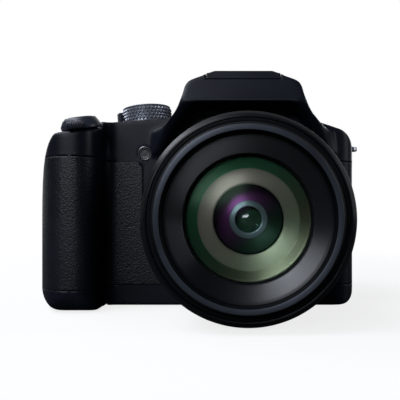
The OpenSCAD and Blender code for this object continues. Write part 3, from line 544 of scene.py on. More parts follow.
def spun_copies(bm: BMesh, count: int) -> None:
    """Repeats what a mesh holds about its local Z axis.

    Args:
        bm: The mesh with one copy.
        count: How many copies the full turn has.
    """
    first = bm.verts[:] + bm.edges[:] + bm.faces[:]
    for index in range(1, count):
        made = bmesh.ops.duplicate(bm, geom=first)["geom"]
        verts = [g for g in made if isinstance(g, bmesh.types.BMVert)]
        bmesh.ops.rotate(bm, verts=verts, cent=(0, 0, 0),
                         matrix=Matrix.Rotation(math.tau * index / count, 3, "Z"))


def join(bm: BMesh, other: BMesh) -> None:
    """Moves another mesh's contents into a mesh.

    Args:
        bm: The mesh that takes them.
        other: The mesh that is used up.
    """
    held = bpy.data.meshes.new("held")
    other.to_mesh(held)
    other.free()
    bm.from_mesh(held)
    bpy.data.meshes.remove(held)


def add_ribs(bm: BMesh, size: Sequence[float], spot: Matrix, count: int, bevel: float) -> None:
    """Adds straight ribs about a mesh's local Z axis.

    Args:
        bm: The mesh that takes them.
        size: The three lengths of a rib in millimetres.
        spot: Where the first rib's centre goes.
        count: How many ribs the full turn has.
        bevel: Radius of their edges in millimetres.
    """
    ribs = bmesh.new()
    add_bar(ribs, size, spot, bevel)
    spun_copies(ribs, count)
    join(bm, ribs)


def numeral(word: str, height: float, spot: Matrix) -> BMesh:
    """Makes a flat printed number from Blender's own font.

    Args:
        word: The number.
        height: Height of the figures in millimetres.
        spot: Where its centre goes, lying in local X and Y.

    Returns:
        The number as a thin mesh.
    """
    curve = bpy.data.curves.new("sign", "FONT")
    curve.body = word
    curve.size = height * MM
    curve.align_x = "CENTER"
    curve.align_y = "CENTER"
    curve.extrude = 0.03 * MM
    curve.resolution_u = 3
    holder = add_object("sign", curve)
    shown = holder.evaluated_get(bpy.context.evaluated_depsgraph_get())
    bm = bmesh.new()
    bm.from_mesh(shown.to_mesh())
    shown.to_mesh_clear()
    bpy.data.objects.remove(holder)
    bpy.data.curves.remove(curve)
    move(bm, spot)
    return bm


def always_free(_: Vector) -> bool:
    """Lets every point be rounded."""
    return True


def off_seams(point: Vector) -> bool:
    """Keeps the parting lines between the covers crisp.

    Args:
        point: A place on a cover, in metres.

    Returns:
        True where the surface may be rounded freely.
    """
    near = 0.8 * MM
    lid_depth = 4.6 * MM
    low, high = LID_BOX
    by_lid = (low.x - near < point.x < high.x + near and point.y < high.y
              and point.z > high.z - lid_depth)
    return (not by_lid and abs(point.z - TRAY_H * MM) > near and abs(point.z - SEAM_Z * MM) > near
            and abs(point.y - SPLIT_Y * MM) > near)


def off_lid_edges(point: Vector) -> bool:
    """Keeps the ends and the lower edge of the flash lid crisp.

    Args:
        point: A place on the lid, in metres.

    Returns:
        True where the lid may be rounded freely.
    """
    near = 0.7 * MM
    lid_thick = 3.55 * MM
    low, high = LID_BOX
    return low.x + near < point.x < high.x - near and abs(point.z - high.z + lid_thick) > near


def softened(node: str, voxel: float, rounds: int, free: Callable[[Vector], bool]) -> BMesh:
    """Copies a CAD node with its edges eased, as a moulding tool leaves them.

    Args:
        node: The CAD node.
        voxel: Size of the even mesh it is rebuilt with, in millimetres.
        rounds: Rounds of smoothing where it is free.
        free: Says where the smoothing may act; elsewhere the mesh lies on the CAD's own faces.

    Returns:
        The eased mesh.
    """
    mesh = frame["nodes"][node].data.copy()
    bm = bmesh.new()
    bm.from_mesh(mesh)
    bmesh.ops.remove_doubles(bm, verts=bm.verts, dist=1e-6)
    faces = BVHTree.FromBMesh(bm)
    bm.to_mesh(mesh)
    bm.free()
    rough = add_object("rough", mesh)
    remesh = rough.modifiers.new("even", "REMESH")
    remesh.mode = "VOXEL"
    remesh.voxel_size = voxel * MM
    bm = bmesh.new()
    bm.from_object(rough, bpy.context.evaluated_depsgraph_get())
    bpy.data.objects.remove(rough)
    bpy.data.meshes.remove(mesh)
    loose = [v for v in bm.verts if free(v.co)]
    held = set(bm.verts).difference(loose)
    for _ in range(rounds):
        bmesh.ops.smooth_vert(bm, verts=loose, factor=0.5, use_axis_x=True, use_axis_y=True,
                              use_axis_z=True)
    for vert in held:
        vert.co = faces.find_nearest(vert.co)[0]
    return bm


def mould(node: str, voxel: float, rounds: int, name: str, finish: Finish, body: str = "body",
          free: Callable[[Vector], bool] = always_free) -> None:
    """Makes an eased copy of a CAD node a finished piece; softened and dress say what each value does."""
    dress(softened(node, voxel, rounds, free), name, finish, body, [node], MOULDED_SHARP)


@dataclass
class Covers:
    """The moulded covers, the leatherette and the doors, each eased from its own CAD node."""

    voxel: float = 0.5
    skin_voxel: float = 0.4
    fine_voxel: float = 0.3
    flap_voxel: float = 0.25
    lug_voxel: float = 0.2

    def build(self) -> None:
        """Builds and dresses every cover."""
        shells = {"bottom_cover": 14, "front_cover": 14, "rear_cover": 10, "top_cover": 16}
        for node, rounds in shells.items():
            mould(node, self.voxel, rounds, f"{node}_shell", BODY_ABS, free=off_seams)
        mould("grip_leatherette", self.skin_voxel, 10, "grip_skin", GRIP_SKIN, free=off_seams)
        mould("thumb_rest", self.fine_voxel, 12, "thumb_pad", GRIP_SKIN)
        mould("battery_door", self.fine_voxel, 4, "battery_door_leaf", BODY_ABS,
              "battery_door")
        mould("port_door", self.flap_voxel, 4, "port_door_flap", RUBBER, "port_door")
        mould("strap_lugs", self.lug_voxel, 5, "strap_eyes", STEEL)


@dataclass
class LensBarrel:
    """Fixed barrel, the two tubes that slide out of it, and the glass that shows in the nose."""

    barrel_r: float = 34.5
    barrel_front: float = -79.3
    barrel_foot: float = 20.0
    zoom_r: float = 31.9
    zoom_bore: float = 30.6
    zoom_front: float = -79.9
    zoom_back: float = -30.0
    nose_r: float = 30.3
    nose_bore: float = 29.0
    nose_front: float = -84.2
    nose_back: float = -45.5
    thread_r: float = 27.5
    thread_pitch: float = 0.75
    thread_turns: int = 4
    seat_y: float = -76.0
    glass_r: float = 20.3
    paint_r: float = 17.2
    paint_front: float = -67.2
    paint_back: float = -64.0
    rim_front: float = -72.0
    cell_r: float = 12.0
    cell_front: float = -62.0
    cell_web: float = -43.0
    iris_r: float = 6.7
    iris_back: float = -55.0
    core_r: float = 4.7

    def dome(self, radius: float, apex: float, sag: float, thick: float) -> BMesh:
        """Makes a bowed shell of glass about the lens axis.

        Args:
            radius: Its outer radius.
            apex: Where its front meets the axis, along Y.
            sag: How far its rim lies behind the apex.
            thick: Its thickness.

        Returns:
            The closed shell.
        """
        shares = [i / 20 for i in range(21)]
        front = [(radius * s, apex + sag * s * s) for s in shares]
        back = [(r, y + thick) for r, y in reversed(front)]
        return revolve(front + back, LENS_FRAME, corner=0.0)

    def build_fixed(self) -> None:
        """Builds the fixed barrel with its two grooves."""
        r, front, foot = self.barrel_r, self.barrel_front, self.barrel_foot
        grooves = [(r - cut, y + along) for y in (-71.0, -33.0)
                   for cut, along in ((0, 0), (0.3, 0.15), (0.3, 0.75), (0, 0.9))]
        fixed = [(r - 2.3, front), (r - 1.6, front), (r, front + 2.2), *grooves, (r, PANEL_Y),
                 (foot, PANEL_Y), (foot, PANEL_Y - 3), (r - 1.3, PANEL_Y - 3), (r - 1.3, front + 2.3),
                 (r - 2.3, front + 2.3)]
        dress(revolve(fixed, LENS_FRAME, 0.35, LENS_STEPS), "lens_barrel", TUBE_BLACK, "body",
              ["fixed_barrel"])

    def build_tubes(self) -> None:
        """Builds the two sliding tubes and the face of the filter ring."""
        bore, web, cell = self.zoom_bore, self.cell_web, self.cell_r
        zoom = [(bore, self.zoom_front), (self.zoom_r, self.zoom_front), (self.zoom_r, self.zoom_back),
                (bore, self.zoom_back), (bore, web + 2), (cell, web + 2), (cell, self.cell_front),
                (cell + 2, self.cell_front), (cell + 2, web), (bore, web)]
        dress(revolve(zoom, LENS_FRAME, 0.2, LENS_STEPS), "zoom_tube", THROAT_BLACK, "zoom",
              ["zoom_barrel"])
        crest, lip, glass = self.thread_r, self.nose_front + 0.3, self.glass_r
        thread = [p for i in range(self.thread_turns) for p in (
            (crest + 0.32, lip + (i + 0.5) * self.thread_pitch), (crest, lip + (i + 1) * self.thread_pitch))]
        nose = [(crest, lip), (29.35, lip), (self.nose_r, self.nose_front + 2.2),
                (self.nose_r, self.nose_back), (self.nose_bore, self.nose_back),
                (self.nose_bore, self.seat_y + 2.5), (glass + 1.6, self.seat_y + 2.5),
                (glass + 1.6, self.paint_back), (glass + 0.1, self.paint_back), (glass + 0.1, self.seat_y),
                (27, self.seat_y), (27, -80.35), *reversed(thread)]
        dress(revolve(nose, LENS_FRAME, 0.12, LENS_STEPS), "filter_ring_tube", THROAT_BLACK, "front",
              ["front_barrel"])
        face = [(crest, self.nose_front), (29.2, self.nose_front), (29.35, lip), (crest, lip)]
        dress(revolve(face, LENS_FRAME, 0.1, LENS_STEPS), "filter_ring_face", FILTER_GREY, "front")

    def build_front_cell(self) -> None:
        """Builds the bare ring round the front glass, the glass and the cell behind it, whose colour is
        painted reflection.
        """
        seat, glass_r, cell = self.seat_y, self.glass_r, self.cell_r
        ring = [(glass_r + 0.7, seat - 2.6), (25.8, seat - 4.2), (26.9, seat - 4.2), (26.9, seat),
                (glass_r + 0.7, seat)]
        dress(revolve(ring, LENS_FRAME, 0.15, LENS_STEPS), "bare_name_ring", RING_BLACK, "front",
              ["name_ring"])
        glass = self.dome(glass_r, seat - 4.4, 3.6, 1.6)
        dress(glass, "front_glass", FRONT_COAT, "front", ["front_lens"])
        r, front, back = self.paint_r, self.paint_front, self.paint_back
        cone = [(r, front), (r, back), (cell, back), (cell, -66.4), (cell + 0.5, -66.8)]
        dress(revolve(cone, LENS_FRAME, 0.1, LENS_STEPS), "painted_cell", PAINTED_CELL_REFLECTION, "front",
              ["lens_retainer"])
        rim = [(glass_r + 0.1, self.rim_front), (glass_r + 0.1, back), (r, back), (r, front - 0.3),
               (r + 0.3, front - 0.3), (glass_r - 0.6, self.rim_front)]
        dress(revolve(rim, LENS_FRAME, 0.1, LENS_STEPS), "painted_cell_rim", CELL_RIM, "front")

    def build_inner_glass(self) -> None:
        """Builds the coated elements that show deep in the lens."""
        second = self.dome(self.cell_r, self.cell_front + 0.4, 2.5, 0.8)
        dress(second, "second_glass", PURPLE_COAT, "zoom", ["second_lens"])
        wide, r, core_r, back = self.cell_r - 0.1, self.iris_r, self.core_r, self.iris_back
        funnel = [(wide, -57.4), (wide, back), (r, back), (r, -58.6)]
        dress(revolve(funnel, LENS_FRAME, 0.1), "inner_baffle", BAFFLE, "zoom")
        ring = [(core_r, -59.4), (core_r + 0.4, -59.4), (r, -58.9), (r, back), (core_r, back)]
        dress(revolve(ring, LENS_FRAME, 0.15), "iris_ring", PALE_RING, "zoom")
        core = self.dome(core_r, -57.6, 1.7, 1.2)
        dress(core, "core_glass", CORE_GREEN, "zoom")

    def build(self) -> None:
        """Builds the whole lens."""
        self.build_fixed()
        self.build_tubes()
        self.build_front_cell()
        self.build_inner_glass()


@dataclass
class TopControls:
    """Dials, levers and buttons on the top cover."""

    dial_r: float = 11.0
    dial_base: float = 1.2
    dial_h: float = 7.8
    knurl_count: int = 40
    number_count: int = 9
    lever_r: float = 7.8
    lever_h: float = 4.4
    lever_foot: float = 0.3
    lever_bore: float = 5.25

    def knurl(self, radius: float, rows: Sequence[float], count: int, width: float, height: float) -> BMesh:
        """Makes rows of pointed diamonds round a drum.

        Args:
            radius: Radius of the crests.
            rows: Height of each row.
            count: Diamonds in a row.
            width: Width of a diamond round the drum.
            height: Height of a diamond along the drum.

        Returns:
            The diamonds, about the local Z axis.
        """
        whole = bmesh.new()
        deep = 0.8
        for index, level in enumerate(rows):
            bm = bmesh.new()
            bmesh.ops.create_cone(bm, cap_ends=True, segments=4, radius1=0.5, radius2=0.12, depth=1.0)
            scale = Matrix.Diagonal((height * MM, width * MM, deep * MM, 1))
            lean = turn(180 / count * (index % 2), Axis.Z)
            move(bm, lean @ place(radius - deep / 2, 0, level) @ turn(90, Axis.Y) @ scale)
            spun_copies(bm, count)
            join(whole, bm)
        return whole

    def build_mode_dial(self) -> None:
        """Builds the knurled dial with plain numbers on its top."""
        low, top, r = self.dial_base, self.dial_base + self.dial_h, self.dial_r
        face = top - 0.25
        drum = [(0, -6.5), (2.5, -6.5), (2.5, low), (r - 0.35, low), (r - 0.35, low + 0.7),
                (r - 0.8, low + 0.9), (r - 0.8, top - 0.7), (r - 0.4, top - 0.5), (r - 0.4, face),
                (r - 0.9, top), (r - 1.9, top), (r - 2.1, face), (0, face)]
        bm = revolve(drum, HERE, 0.12)
        rows = [low + 2.0 + 1.35 * i for i in range(4)]
        join(bm, self.knurl(r, rows, self.knurl_count, 1.7, 2.2))
        move(bm, DIAL_FRAME)
        dress(bm, "mode_dial_drum", DIAL_GREY, "mode_dial", ["mode_dial"], sharp=25)
        marks = bmesh.new()
        for index in range(self.number_count):
            spot = turn(360 / self.number_count * index, Axis.Z) @ place(0, r - 4.2, face)
            join(marks, numeral(str(index + 1), 2.1, spot))
        move(marks, DIAL_FRAME)
        dress(marks, "mode_dial_numbers", INK, "mode_dial")

    def build_power_lever(self) -> None:
        """Builds the power lever under the dial, with its ribbed tab."""
        bm = revolve([(2.8, 0.15), (10.4, 0.15), (10.4, 1.05), (2.8, 1.05)], HERE, 0.1)
        arm = turn(205, Axis.Z)
        add_bar(bm, (7.3, 3.2, 0.9), arm @ place(9.65, 0, 0.6))
        tall = self.dial_h - 1.2
        add_bar(bm, (1.5, 3.2, tall), arm @ place(12.15, 0, 0.15 + tall / 2), 0.3)
        for index in range(5):
            add_bar(bm, (0.5, 0.36, tall - 0.6), arm @ place(13.05, (index - 2) * 0.62, 0.2 + tall / 2), 0.1)
        move(bm, DIAL_FRAME)
        dress(bm, "power_lever_tab", TRIM_ABS, "power_lever", ["power_lever"])

    def build_zoom_lever(self) -> None:
        """Builds the tapered zoom lever and its ribbed front tab."""
        foot, top, r = self.lever_foot, self.lever_foot + self.lever_h, self.lever_r
        ring = [(self.lever_bore, foot), (r, foot), (r, foot + 0.9), (r - 0.6, foot + 2.3),
                (r - 1.3, foot + 3.4), (r - 2, top), (self.lever_bore, top)]
        bm = revolve(ring, HERE, 0.35)
        add_bar(bm, (6.2, 4.2, 3.0), place(0, -7.7, 1.8), 1.0)
        for index in range(7):
            add_bar(bm, (0.45, 0.8, 2.2), place((index - 3) * 0.85, -9.65, 1.75), 0.12)
        for index in range(15):
            lean = turn(-165 + 5 * index, Axis.Z)
            add_bar(bm, (0.5, 0.34, 2.9), lean @ place(r - 0.72, 0, foot + 2.2) @ turn(-26, Axis.Y), 0.12)
        move(bm, SHUTTER_FRAME)
        dress(bm, "zoom_lever_ring", TRIM_ABS, "zoom_lever", ["zoom_lever"])

    def build_shutter(self) -> None:
        """Builds the dished shutter button."""
        button = [(0, -7.5), (4.2, -7.5), (4.2, 3.8), (4.9, 3.8), (4.9, 4.5), (4.4, 5.0), (3.2, 4.85),
                  (0, 4.6)]
        dress(revolve(button, SHUTTER_FRAME, 0.2), "shutter_cap", TRIM_ABS, "shutter",
              ["shutter_button"])

    def build_buttons(self) -> None:
        """Builds the movie button, the flash button and the rear dial."""
        for node, body, slot, finish in (("movie_button", "movie", "record_red", RED_ABS),
                                         ("flash_button", "flash_release", "body_plastic", TRIM_ABS)):
            low, high = (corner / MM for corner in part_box(node))
            flange = (high.x - low.x) / 2
            r, foot, top = flange - 0.9, low.z, high.z
            cap = [(0, foot), (flange, foot), (flange, foot + 0.8), (r, foot + 0.8), (r, top - 0.35),
                   (r - 0.35, top), (r - 0.9, top - 0.1), (0, top - 0.2)]
            middle = place((low.x + high.x) / 2, (low.y + high.y) / 2, 0)
            dress(revolve(cap, middle, 0.2, 64), f"{body}_cap", finish, body, [node])
        drum = [(1.55, 62.1), (7.2, 62.1), (7.6, 62.5), (7.6, 66.7), (7.2, 67.1), (1.55, 67.1)]
        bm = revolve(drum, HERE, 0.15)
        add_ribs(bm, (0.7, 0.6, 4.2), place(7.63, 0, 64.6), 40, 0.15)
        move(bm, place(-68, 15.5, 0))
        dress(bm, "rear_dial_drum", TRIM_ABS, "rear_dial", ["rear_dial"])

    def build(self) -> None:
        """Builds every top control."""
        self.build_mode_dial()
        self.build_power_lever()
        self.build_zoom_lever()
        self.build_shutter()
        self.build_buttons()


@dataclass
class BackControls:
    """Monitor, viewfinder and the buttons of the back."""

    window_x: float = 4.0
    window_z: float = 34.0
    window_w: float = 69.7
    window_h: float = 45.7
    window_thick: float = 1.1
    finder_z: float = 80.0
    eye_r: float = 9.0
    eye_bow: float = 1.4
    button_r: float = 2.8
    button_foot: float = -3.1
    button_out: float = 0.9
    cursor_x: float = -57.0
    cursor_z: float = 27.0

    def build_monitor(self) -> None:
        """Builds the monitor's polished window with its inset screen."""
        bm = bmesh.new()
        spot = place(self.window_x, REAR_Y - self.window_thick / 2, self.window_z)
        add_bar(bm, (self.window_w, self.window_thick, self.window_h), spot, 0.25)
        front = max(bm.faces, key=lambda f: f.calc_center_median().y)
        bmesh.ops.inset_individual(bm, faces=[front], thickness=4.0 * MM, depth=0)
        bmesh.ops.inset_individual(bm, faces=[front], thickness=0.25 * MM, depth=-0.12 * MM)
        dress(bm, "monitor_window", MONITOR_BLACK, "body", ["lcd_window"], sharp=15)

    def build_finder(self) -> None:
        """Builds the eyecup, the eyepiece glass and the diopter dial."""
        mould("eyecup", 0.35, 24, "eyecup_rubber", RUBBER)
        shares = [i / 12 for i in range(13)]
        front = [(self.eye_r * s, 26.6 - self.eye_bow * s * s) for s in shares]
        back = [(self.eye_r * s, 22.4 + self.eye_bow * s * s) for s in reversed(shares)]
        eye = revolve(back + front, place(HUMP_X, 0, self.finder_z) @ turn(-90, Axis.X), 0.0, 96)
        dress(eye, "eyepiece_glass", EYE_COAT, "body", ["eyepiece_lens"])
        knob = [(0, -4.5), (1.2, -4.5), (1.2, 0), (2.5, 0), (2.7, 0.2), (2.7, 1.8), (2.4, 2), (0, 2)]
        bm = revolve(knob, HERE, 0.1, 48)
        add_ribs(bm, (0.5, 0.34, 1.6), place(2.72, 0, 1.0), 22, 0.1)
        move(bm, place(HUMP_X - 18.3, 25.3, self.finder_z) @ turn(-90, Axis.Y))
        dress(bm, "diopter_knob", TRIM_ABS, "diopter", ["diopter_dial"])

    def build_buttons(self) -> None:
        """Builds the round buttons, each with its keeper flange."""
        r, foot, out = self.button_r, self.button_foot, self.button_out
        cap = [(0, foot), (r + 0.9, foot), (r + 0.9, foot + 0.8), (r, foot + 0.8), (r, out - 0.35),
               (r - 0.35, out), (r - 1.0, out - 0.1), (0, out - 0.15)]
        places = {"lvf": ("lvf_button", 28, 65.6), "af_lock": ("af_lock_button", -39, 52.5),
                  "play": ("play_button", -39.5, 43), "display": ("display_button", -39.5, 14),
                  "menu": ("menu_button", -71, 12.5)}
        for body, (node, x, z) in places.items():
            bm = revolve(cap, back_frame(x, z), 0.15, 64)
            dress(bm, f"{body}_cap", TRIM_ABS, body, [node])

    def build_cursor(self) -> None:
        """Builds the cursor pad, the arrows on it and the set button in its middle."""
        foot, out = self.button_foot, self.button_out
        centre = back_frame(self.cursor_x, self.cursor_z)
        pad = [(4.9, foot), (12.9, foot), (12.9, foot + 0.8), (12, foot + 0.8), (12, out - 0.5),
               (11.5, out), (9.5, out), (6.2, out - 0.35), (4.9, out - 0.35)]
        dress(revolve(pad, centre, 0.2), "cursor_ring", TRIM_ABS, "cursor", ["cursor_pad"])
        marks = bmesh.new()
        arrow_r = 0.8 * MM
        for index in range(4):
            bm = bmesh.new()
            bmesh.ops.create_cone(bm, cap_ends=True, segments=3, radius1=arrow_r, radius2=arrow_r,
                                  depth=0.1 * MM)
            move(bm, turn(90 * index, Axis.Z) @ place(0, 9.9, out) @ turn(90, Axis.Z))
            join(marks, bm)
        move(marks, centre)
        dress(marks, "cursor_arrows", INK, "cursor")
        middle = [(0, -3.7), (4.6, -3.7), (4.6, out - 0.3), (4.3, out), (3.4, out - 0.12), (0, out - 0.2)]
        dress(revolve(middle, centre, 0.15, 64), "set_cap", TRIM_ABS, "set", ["set_button"])

    def build(self) -> None:
        """Builds everything on the back."""
        self.build_monitor()
        self.build_finder()
        self.build_buttons()
        self.build_cursor()


@dataclass
class Flash:
    """The flash head in the crown of the hump, and its ribbed window."""

    voxel: float = 0.3
    ribs: int = 5

    def build(self) -> None:
        """Builds the flash head and its window."""
        mould("flash_head", self.voxel, 8, "flash_lid", BODY_ABS, "flash", off_lid_edges)
        low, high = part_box("flash_window")
        middle, size = (low + high) / 2 / MM, (high - low) / MM
        bm = bmesh.new()
        add_bar(bm, (size.x, size.y - 0.3, size.z), place(middle.x, middle.y + 0.15, middle.z), 0.1)
        step = size.z / self.ribs
        for index in range(self.ribs):
            level = low.z / MM + step * (index + 0.5)
            add_bar(bm, (size.x, 0.45, step * 0.8), place(middle.x, low.y / MM + 0.23, level), 0.12)
        dress(bm, "flash_diffuser", LAMP_DIFFUSER, "flash", ["flash_window"])


@dataclass
class FrontTrim:
    """The small lamp on the front panel."""

    lamp_x: float = -42.9
    lamp_z: float = 62.8
    lamp_r: float = 2.3

    def build(self) -> None:
        """Builds the lamp's lens with its collar."""
        spot = place(self.lamp_x, PANEL_Y, self.lamp_z) @ turn(90, Axis.X)
        r = self.lamp_r
        lens = [(0, -2), (r, -2), (r, 0.1), (r - 0.15, 0.2), (r * 0.6, 0.1), (0, 0.15)]
        dress(revolve(lens, spot, 0.06, 48), "assist_lamp", SMOKED, "body", ["af_lamp"])
        collar = [(r, -0.2), (r + 0.9, -0.2), (r + 0.75, 0.2), (r + 0.35, 0.45), (r, 0.3)]
        dress(revolve(collar, spot, 0.12, 64), "assist_lamp_collar", POLISHED_ABS, "body")


@dataclass
class Base:
    """What shows underneath: the tripod socket and the battery door's latch."""

    socket_r: float = 5.5
    socket_h: float = 7.4
    flange_r: float = 8.0
    thread_r: float = 3.175
    thread_pitch: float = 1.27
    thread_turns: int = 4
    depth: float = 6.0

    def build(self) -> None:
        """Builds the threaded socket and the latch; the screws keep their CAD form."""
        bore, outer, flange = self.thread_r, self.socket_r, self.flange_r
        thread = [(bore + cut, self.thread_pitch * (i + share) + 0.15) for i in range(self.thread_turns)
                  for cut, share in ((0, 0), (0.5, 0.5))]
        bush = [(bore, 0), (outer, 0), (outer, 2.4), (flange, 2.4), (flange, 3.6), (outer, 3.6),
                (outer, self.socket_h), (0, self.socket_h), (0, self.depth), (bore, self.depth)]
        dress(revolve(bush + thread[::-1], HERE, 0.08, 96), "socket_bush", NICKEL, "body",
              ["tripod_socket"])
        low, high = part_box("battery_latch")
        middle, size = (low + high) / 2 / MM, (high - low) / MM
        bm = bmesh.new()
        add_bar(bm, (size.x, size.y, size.z - 0.1), place(middle.x, middle.y, middle.z + 0.05), 0.08)
        for index in range(5):
            shift = (index - 2) * 0.7
            add_bar(bm, (0.35, size.y - 0.6, 0.2), place(middle.x + shift, middle.y, low.z / MM + 0.1), 0.06)
        dress(bm, "latch_slider", TRIM_ABS, "battery_latch", ["battery_latch"])


@dataclass
class Inside:
    """The pieces inside, which keep their CAD form and get their real finishes."""

    def finishes(self) -> dict[Finish, Iterable[str]]:
        """Returns each finish with the CAD nodes that show it."""
        return {
            STEEL: ("chassis", "case_screws", "battery_door_pin", "flash_hinge_pin", "usb_socket",
                    "hdmi_socket", "cam_ring", "zoom_motor"),
            SOLDER_MASK: ("main_board", "sensor_board"),
            SENSOR_DARK: ("image_sensor", "evf_display"),
            CELL_LABEL: ("battery", "memory_card", "flash_capacitor"),
            TRIM_ABS: ("battery_holder", "lcd_panel"),
            THROAT_BLACK: ("lens_base",),
            EYE_COAT: ("rear_lens",),
            LAMP_DIFFUSER: ("flash_tube",),
        }

    def build(self) -> None:
        """Dresses the CAD nodes."""
        for finish, nodes in self.finishes().items():
            for node in nodes:
                data = frame["nodes"][node].data
                data.materials.clear()
                data.materials.append(finish.material())
                LOG.info("%s keeps its CAD form", node)


# Cool daylight of the soft boxes, which gives the black plastic its blue cast
DAYLIGHT = (0.91, 0.97, 1.07)
LAMP_TARGET = (0, 0, 0.045)
WHITE = (1, 1, 1, 1)


@dataclass(frozen=True)
class SoftBox:
    """A rectangular lamp, with its place, width and height in metres."""

    name: str
    spot: tuple[float, float, float]
    size: tuple[float, float]
    watts: float

    def hang(self) -> None:
        """Hangs the lamp, facing the middle of the object."""
        lamp = bpy.data.lights.new(self.name, "AREA")
        lamp.shape = "RECTANGLE"
        lamp.size, lamp.size_y = self.size
        lamp.energy = self.watts
        lamp.color = DAYLIGHT
        holder = add_object(self.name, lamp)
        holder.location = self.spot
        aim = Vector(LAMP_TARGET) - Vector(self.spot)
        holder.rotation_euler = aim.to_track_quat("-Z", "Y").to_euler()


SOFT_BOXES = (
    SoftBox("key_upper_left", (-0.44, -1.0, 0.46), (0.8, 0.4), 7.2),
    SoftBox("rim_upper_left", (-0.67, 0.3, 0.7), (0.5, 0.3), 3.0),
    SoftBox("top", (-0.5, -0.32, 0.85), (0.6, 0.5), 9.0),
    SoftBox("right_strip", (0.9, -0.2, 0.35), (0.2, 0.6), 2.5),
    SoftBox("back_fill", (0.3, 1.0, 0.3), (0.9, 0.5), 4.0),
)


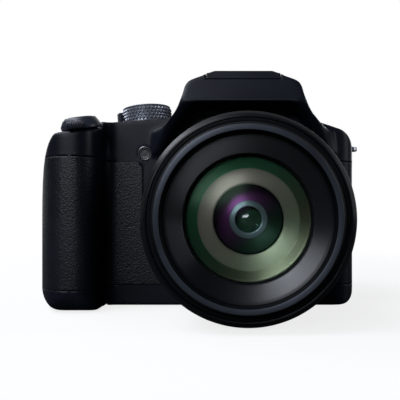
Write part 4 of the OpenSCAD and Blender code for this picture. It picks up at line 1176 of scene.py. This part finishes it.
@dataclass
class Studio:
    """White sweep, soft boxes and the camera at the photograph's view."""

    camera_y: float = -251.0
    sensor_w: float = 36.0
    focal_px: float = 548.5
    image_px: float = 400.0
    centre_px: tuple[float, float] = (248.5, 219.5)
    floor_half_m: float = 6.0
    floor_drop_m: float = 0.0002
    # Grey of the floor: as it lights the object, and as the camera sees it
    floor_greys: tuple[float, float] = (0.06, 0.75)
    # Share of pure white in the floor: near the object, where its shadow lies, and far off
    floor_whites: tuple[float, float] = (0.8, 1.0)
    floor_fade_m: tuple[float, float] = (0.12, 0.45)
    # How far round to the back, along Y, gloss begins to see the sweep, and sees it fully
    sweep_y: tuple[float, float] = (0.35, 0.9)
    sweep_levels: tuple[float, float] = (0.02, 1.0)
    room_level: float = 0.08

    def build_camera(self) -> None:
        """Sets the camera in front of the lens, with the photograph's framing as lens shift."""
        data = bpy.data.cameras.new("camera")
        data.sensor_width = self.sensor_w
        data.lens = self.sensor_w * self.focal_px / self.image_px
        data.shift_x = 0.5 - self.centre_px[0] / self.image_px
        data.shift_y = self.centre_px[1] / self.image_px - 0.5
        data.clip_start = 0.01
        camera = add_object("camera", data)
        camera.location = Vector((0, self.camera_y, LENS_Z)) * MM
        camera.rotation_euler = (math.pi / 2, 0, 0)
        bpy.context.scene.camera = camera

    def floor_paper(self) -> Material:
        """Makes white paper that still takes a shadow near the object.

        Returns:
            The paper's material.
        """
        made = bpy.data.materials.new("white_paper_sweep")
        tree = cleared(made)
        seen = add_node(tree, "ShaderNodeLightPath").outputs["Is Camera Ray"]
        dark, pale = self.floor_greys
        grey = add_node(tree, "ShaderNodeMapRange", {"Value": seen, "To Min": dark, "To Max": pale})
        paper = add_node(tree, "ShaderNodeBsdfDiffuse", {"Color": grey.outputs["Result"]})
        white = add_node(tree, "ShaderNodeEmission", {"Color": WHITE, "Strength": 1.0})
        spot = add_node(tree, "ShaderNodeTexCoord").outputs["Object"]
        reach = add_node(tree, "ShaderNodeVectorMath", {0: spot}, operation="LENGTH").outputs["Value"]
        near, far = self.floor_fade_m
        shaded, clean = self.floor_whites
        fade = add_node(tree, "ShaderNodeMapRange",
                        {"Value": reach, "From Min": near, "From Max": far, "To Min": shaded,
                         "To Max": clean}, interpolation_type="SMOOTHSTEP")
        share = add_node(tree, "ShaderNodeMath", {0: seen, 1: fade.outputs["Result"]}, operation="MULTIPLY")
        mixed = add_node(tree, "ShaderNodeMixShader",
                         {0: share.outputs[0], 1: paper.outputs["BSDF"], 2: white.outputs["Emission"]})
        add_node(tree, "ShaderNodeOutputMaterial", {"Surface": mixed.outputs["Shader"]})
        return made

    def build_floor(self) -> None:
        """Lays a wide white floor just under the base."""
        bm = bmesh.new()
        bmesh.ops.create_grid(bm, x_segments=1, y_segments=1, size=self.floor_half_m)
        bmesh.ops.translate(bm, verts=bm.verts, vec=(0, 0, -self.floor_drop_m))
        mesh = bpy.data.meshes.new("floor")
        bm.to_mesh(mesh)
        bm.free()
        floor = add_object("floor", mesh)
        mesh.materials.append(self.floor_paper())

    def build_world(self) -> None:
        """Makes the background white, also in gloss and glass on the sweep's side, over a dim room."""
        world = bpy.data.worlds.new("studio")
        tree = cleared(world)
        ray = add_node(tree, "ShaderNodeLightPath").outputs
        glancing = add_node(tree, "ShaderNodeMath", {0: ray["Is Glossy Ray"], 1: ray["Is Transmission Ray"]},
                            operation="MAXIMUM")
        way = add_node(tree, "ShaderNodeSeparateXYZ",
                       {0: add_node(tree, "ShaderNodeTexCoord").outputs["Generated"]})
        first, full = self.sweep_y
        dim, bright = self.sweep_levels
        sweep = add_node(tree, "ShaderNodeMapRange",
                         {"Value": way.outputs["Y"], "From Min": first, "From Max": full, "To Min": dim,
                          "To Max": bright})
        seen = add_node(tree, "ShaderNodeMath", {0: glancing.outputs[0], 1: sweep.outputs["Result"]},
                        operation="MULTIPLY")
        level = add_node(tree, "ShaderNodeMath", {0: ray["Is Camera Ray"], 1: seen.outputs[0]},
                         operation="MAXIMUM")
        room = add_node(tree, "ShaderNodeMath", {0: ray["Is Diffuse Ray"], 1: self.room_level},
                        operation="MULTIPLY")
        strength = add_node(tree, "ShaderNodeMath", {0: level.outputs[0], 1: room.outputs[0]},
                            operation="MAXIMUM")
        back = add_node(tree, "ShaderNodeBackground", {"Color": WHITE, "Strength": strength.outputs[0]})
        add_node(tree, "ShaderNodeOutputWorld", {"Surface": back.outputs["Background"]})
        bpy.context.scene.world = world

    def build(self) -> None:
        """Builds the studio."""
        bpy.context.scene.view_settings.view_transform = "Standard"
        self.build_camera()
        self.build_floor()
        self.build_world()
        for box in SOFT_BOXES:
            box.hang()


def main() -> None:
    """Builds the camera's sub-assemblies in order, then the studio."""
    logging.basicConfig(level=logging.INFO, format="%(name)s: %(message)s")
    for assembly in (Covers(), LensBarrel(), TopControls(), BackControls(), Flash(), FrontTrim(), Base(),
                     Inside(), Studio()):
        assembly.build()


if __name__ == "__main__":
    main()
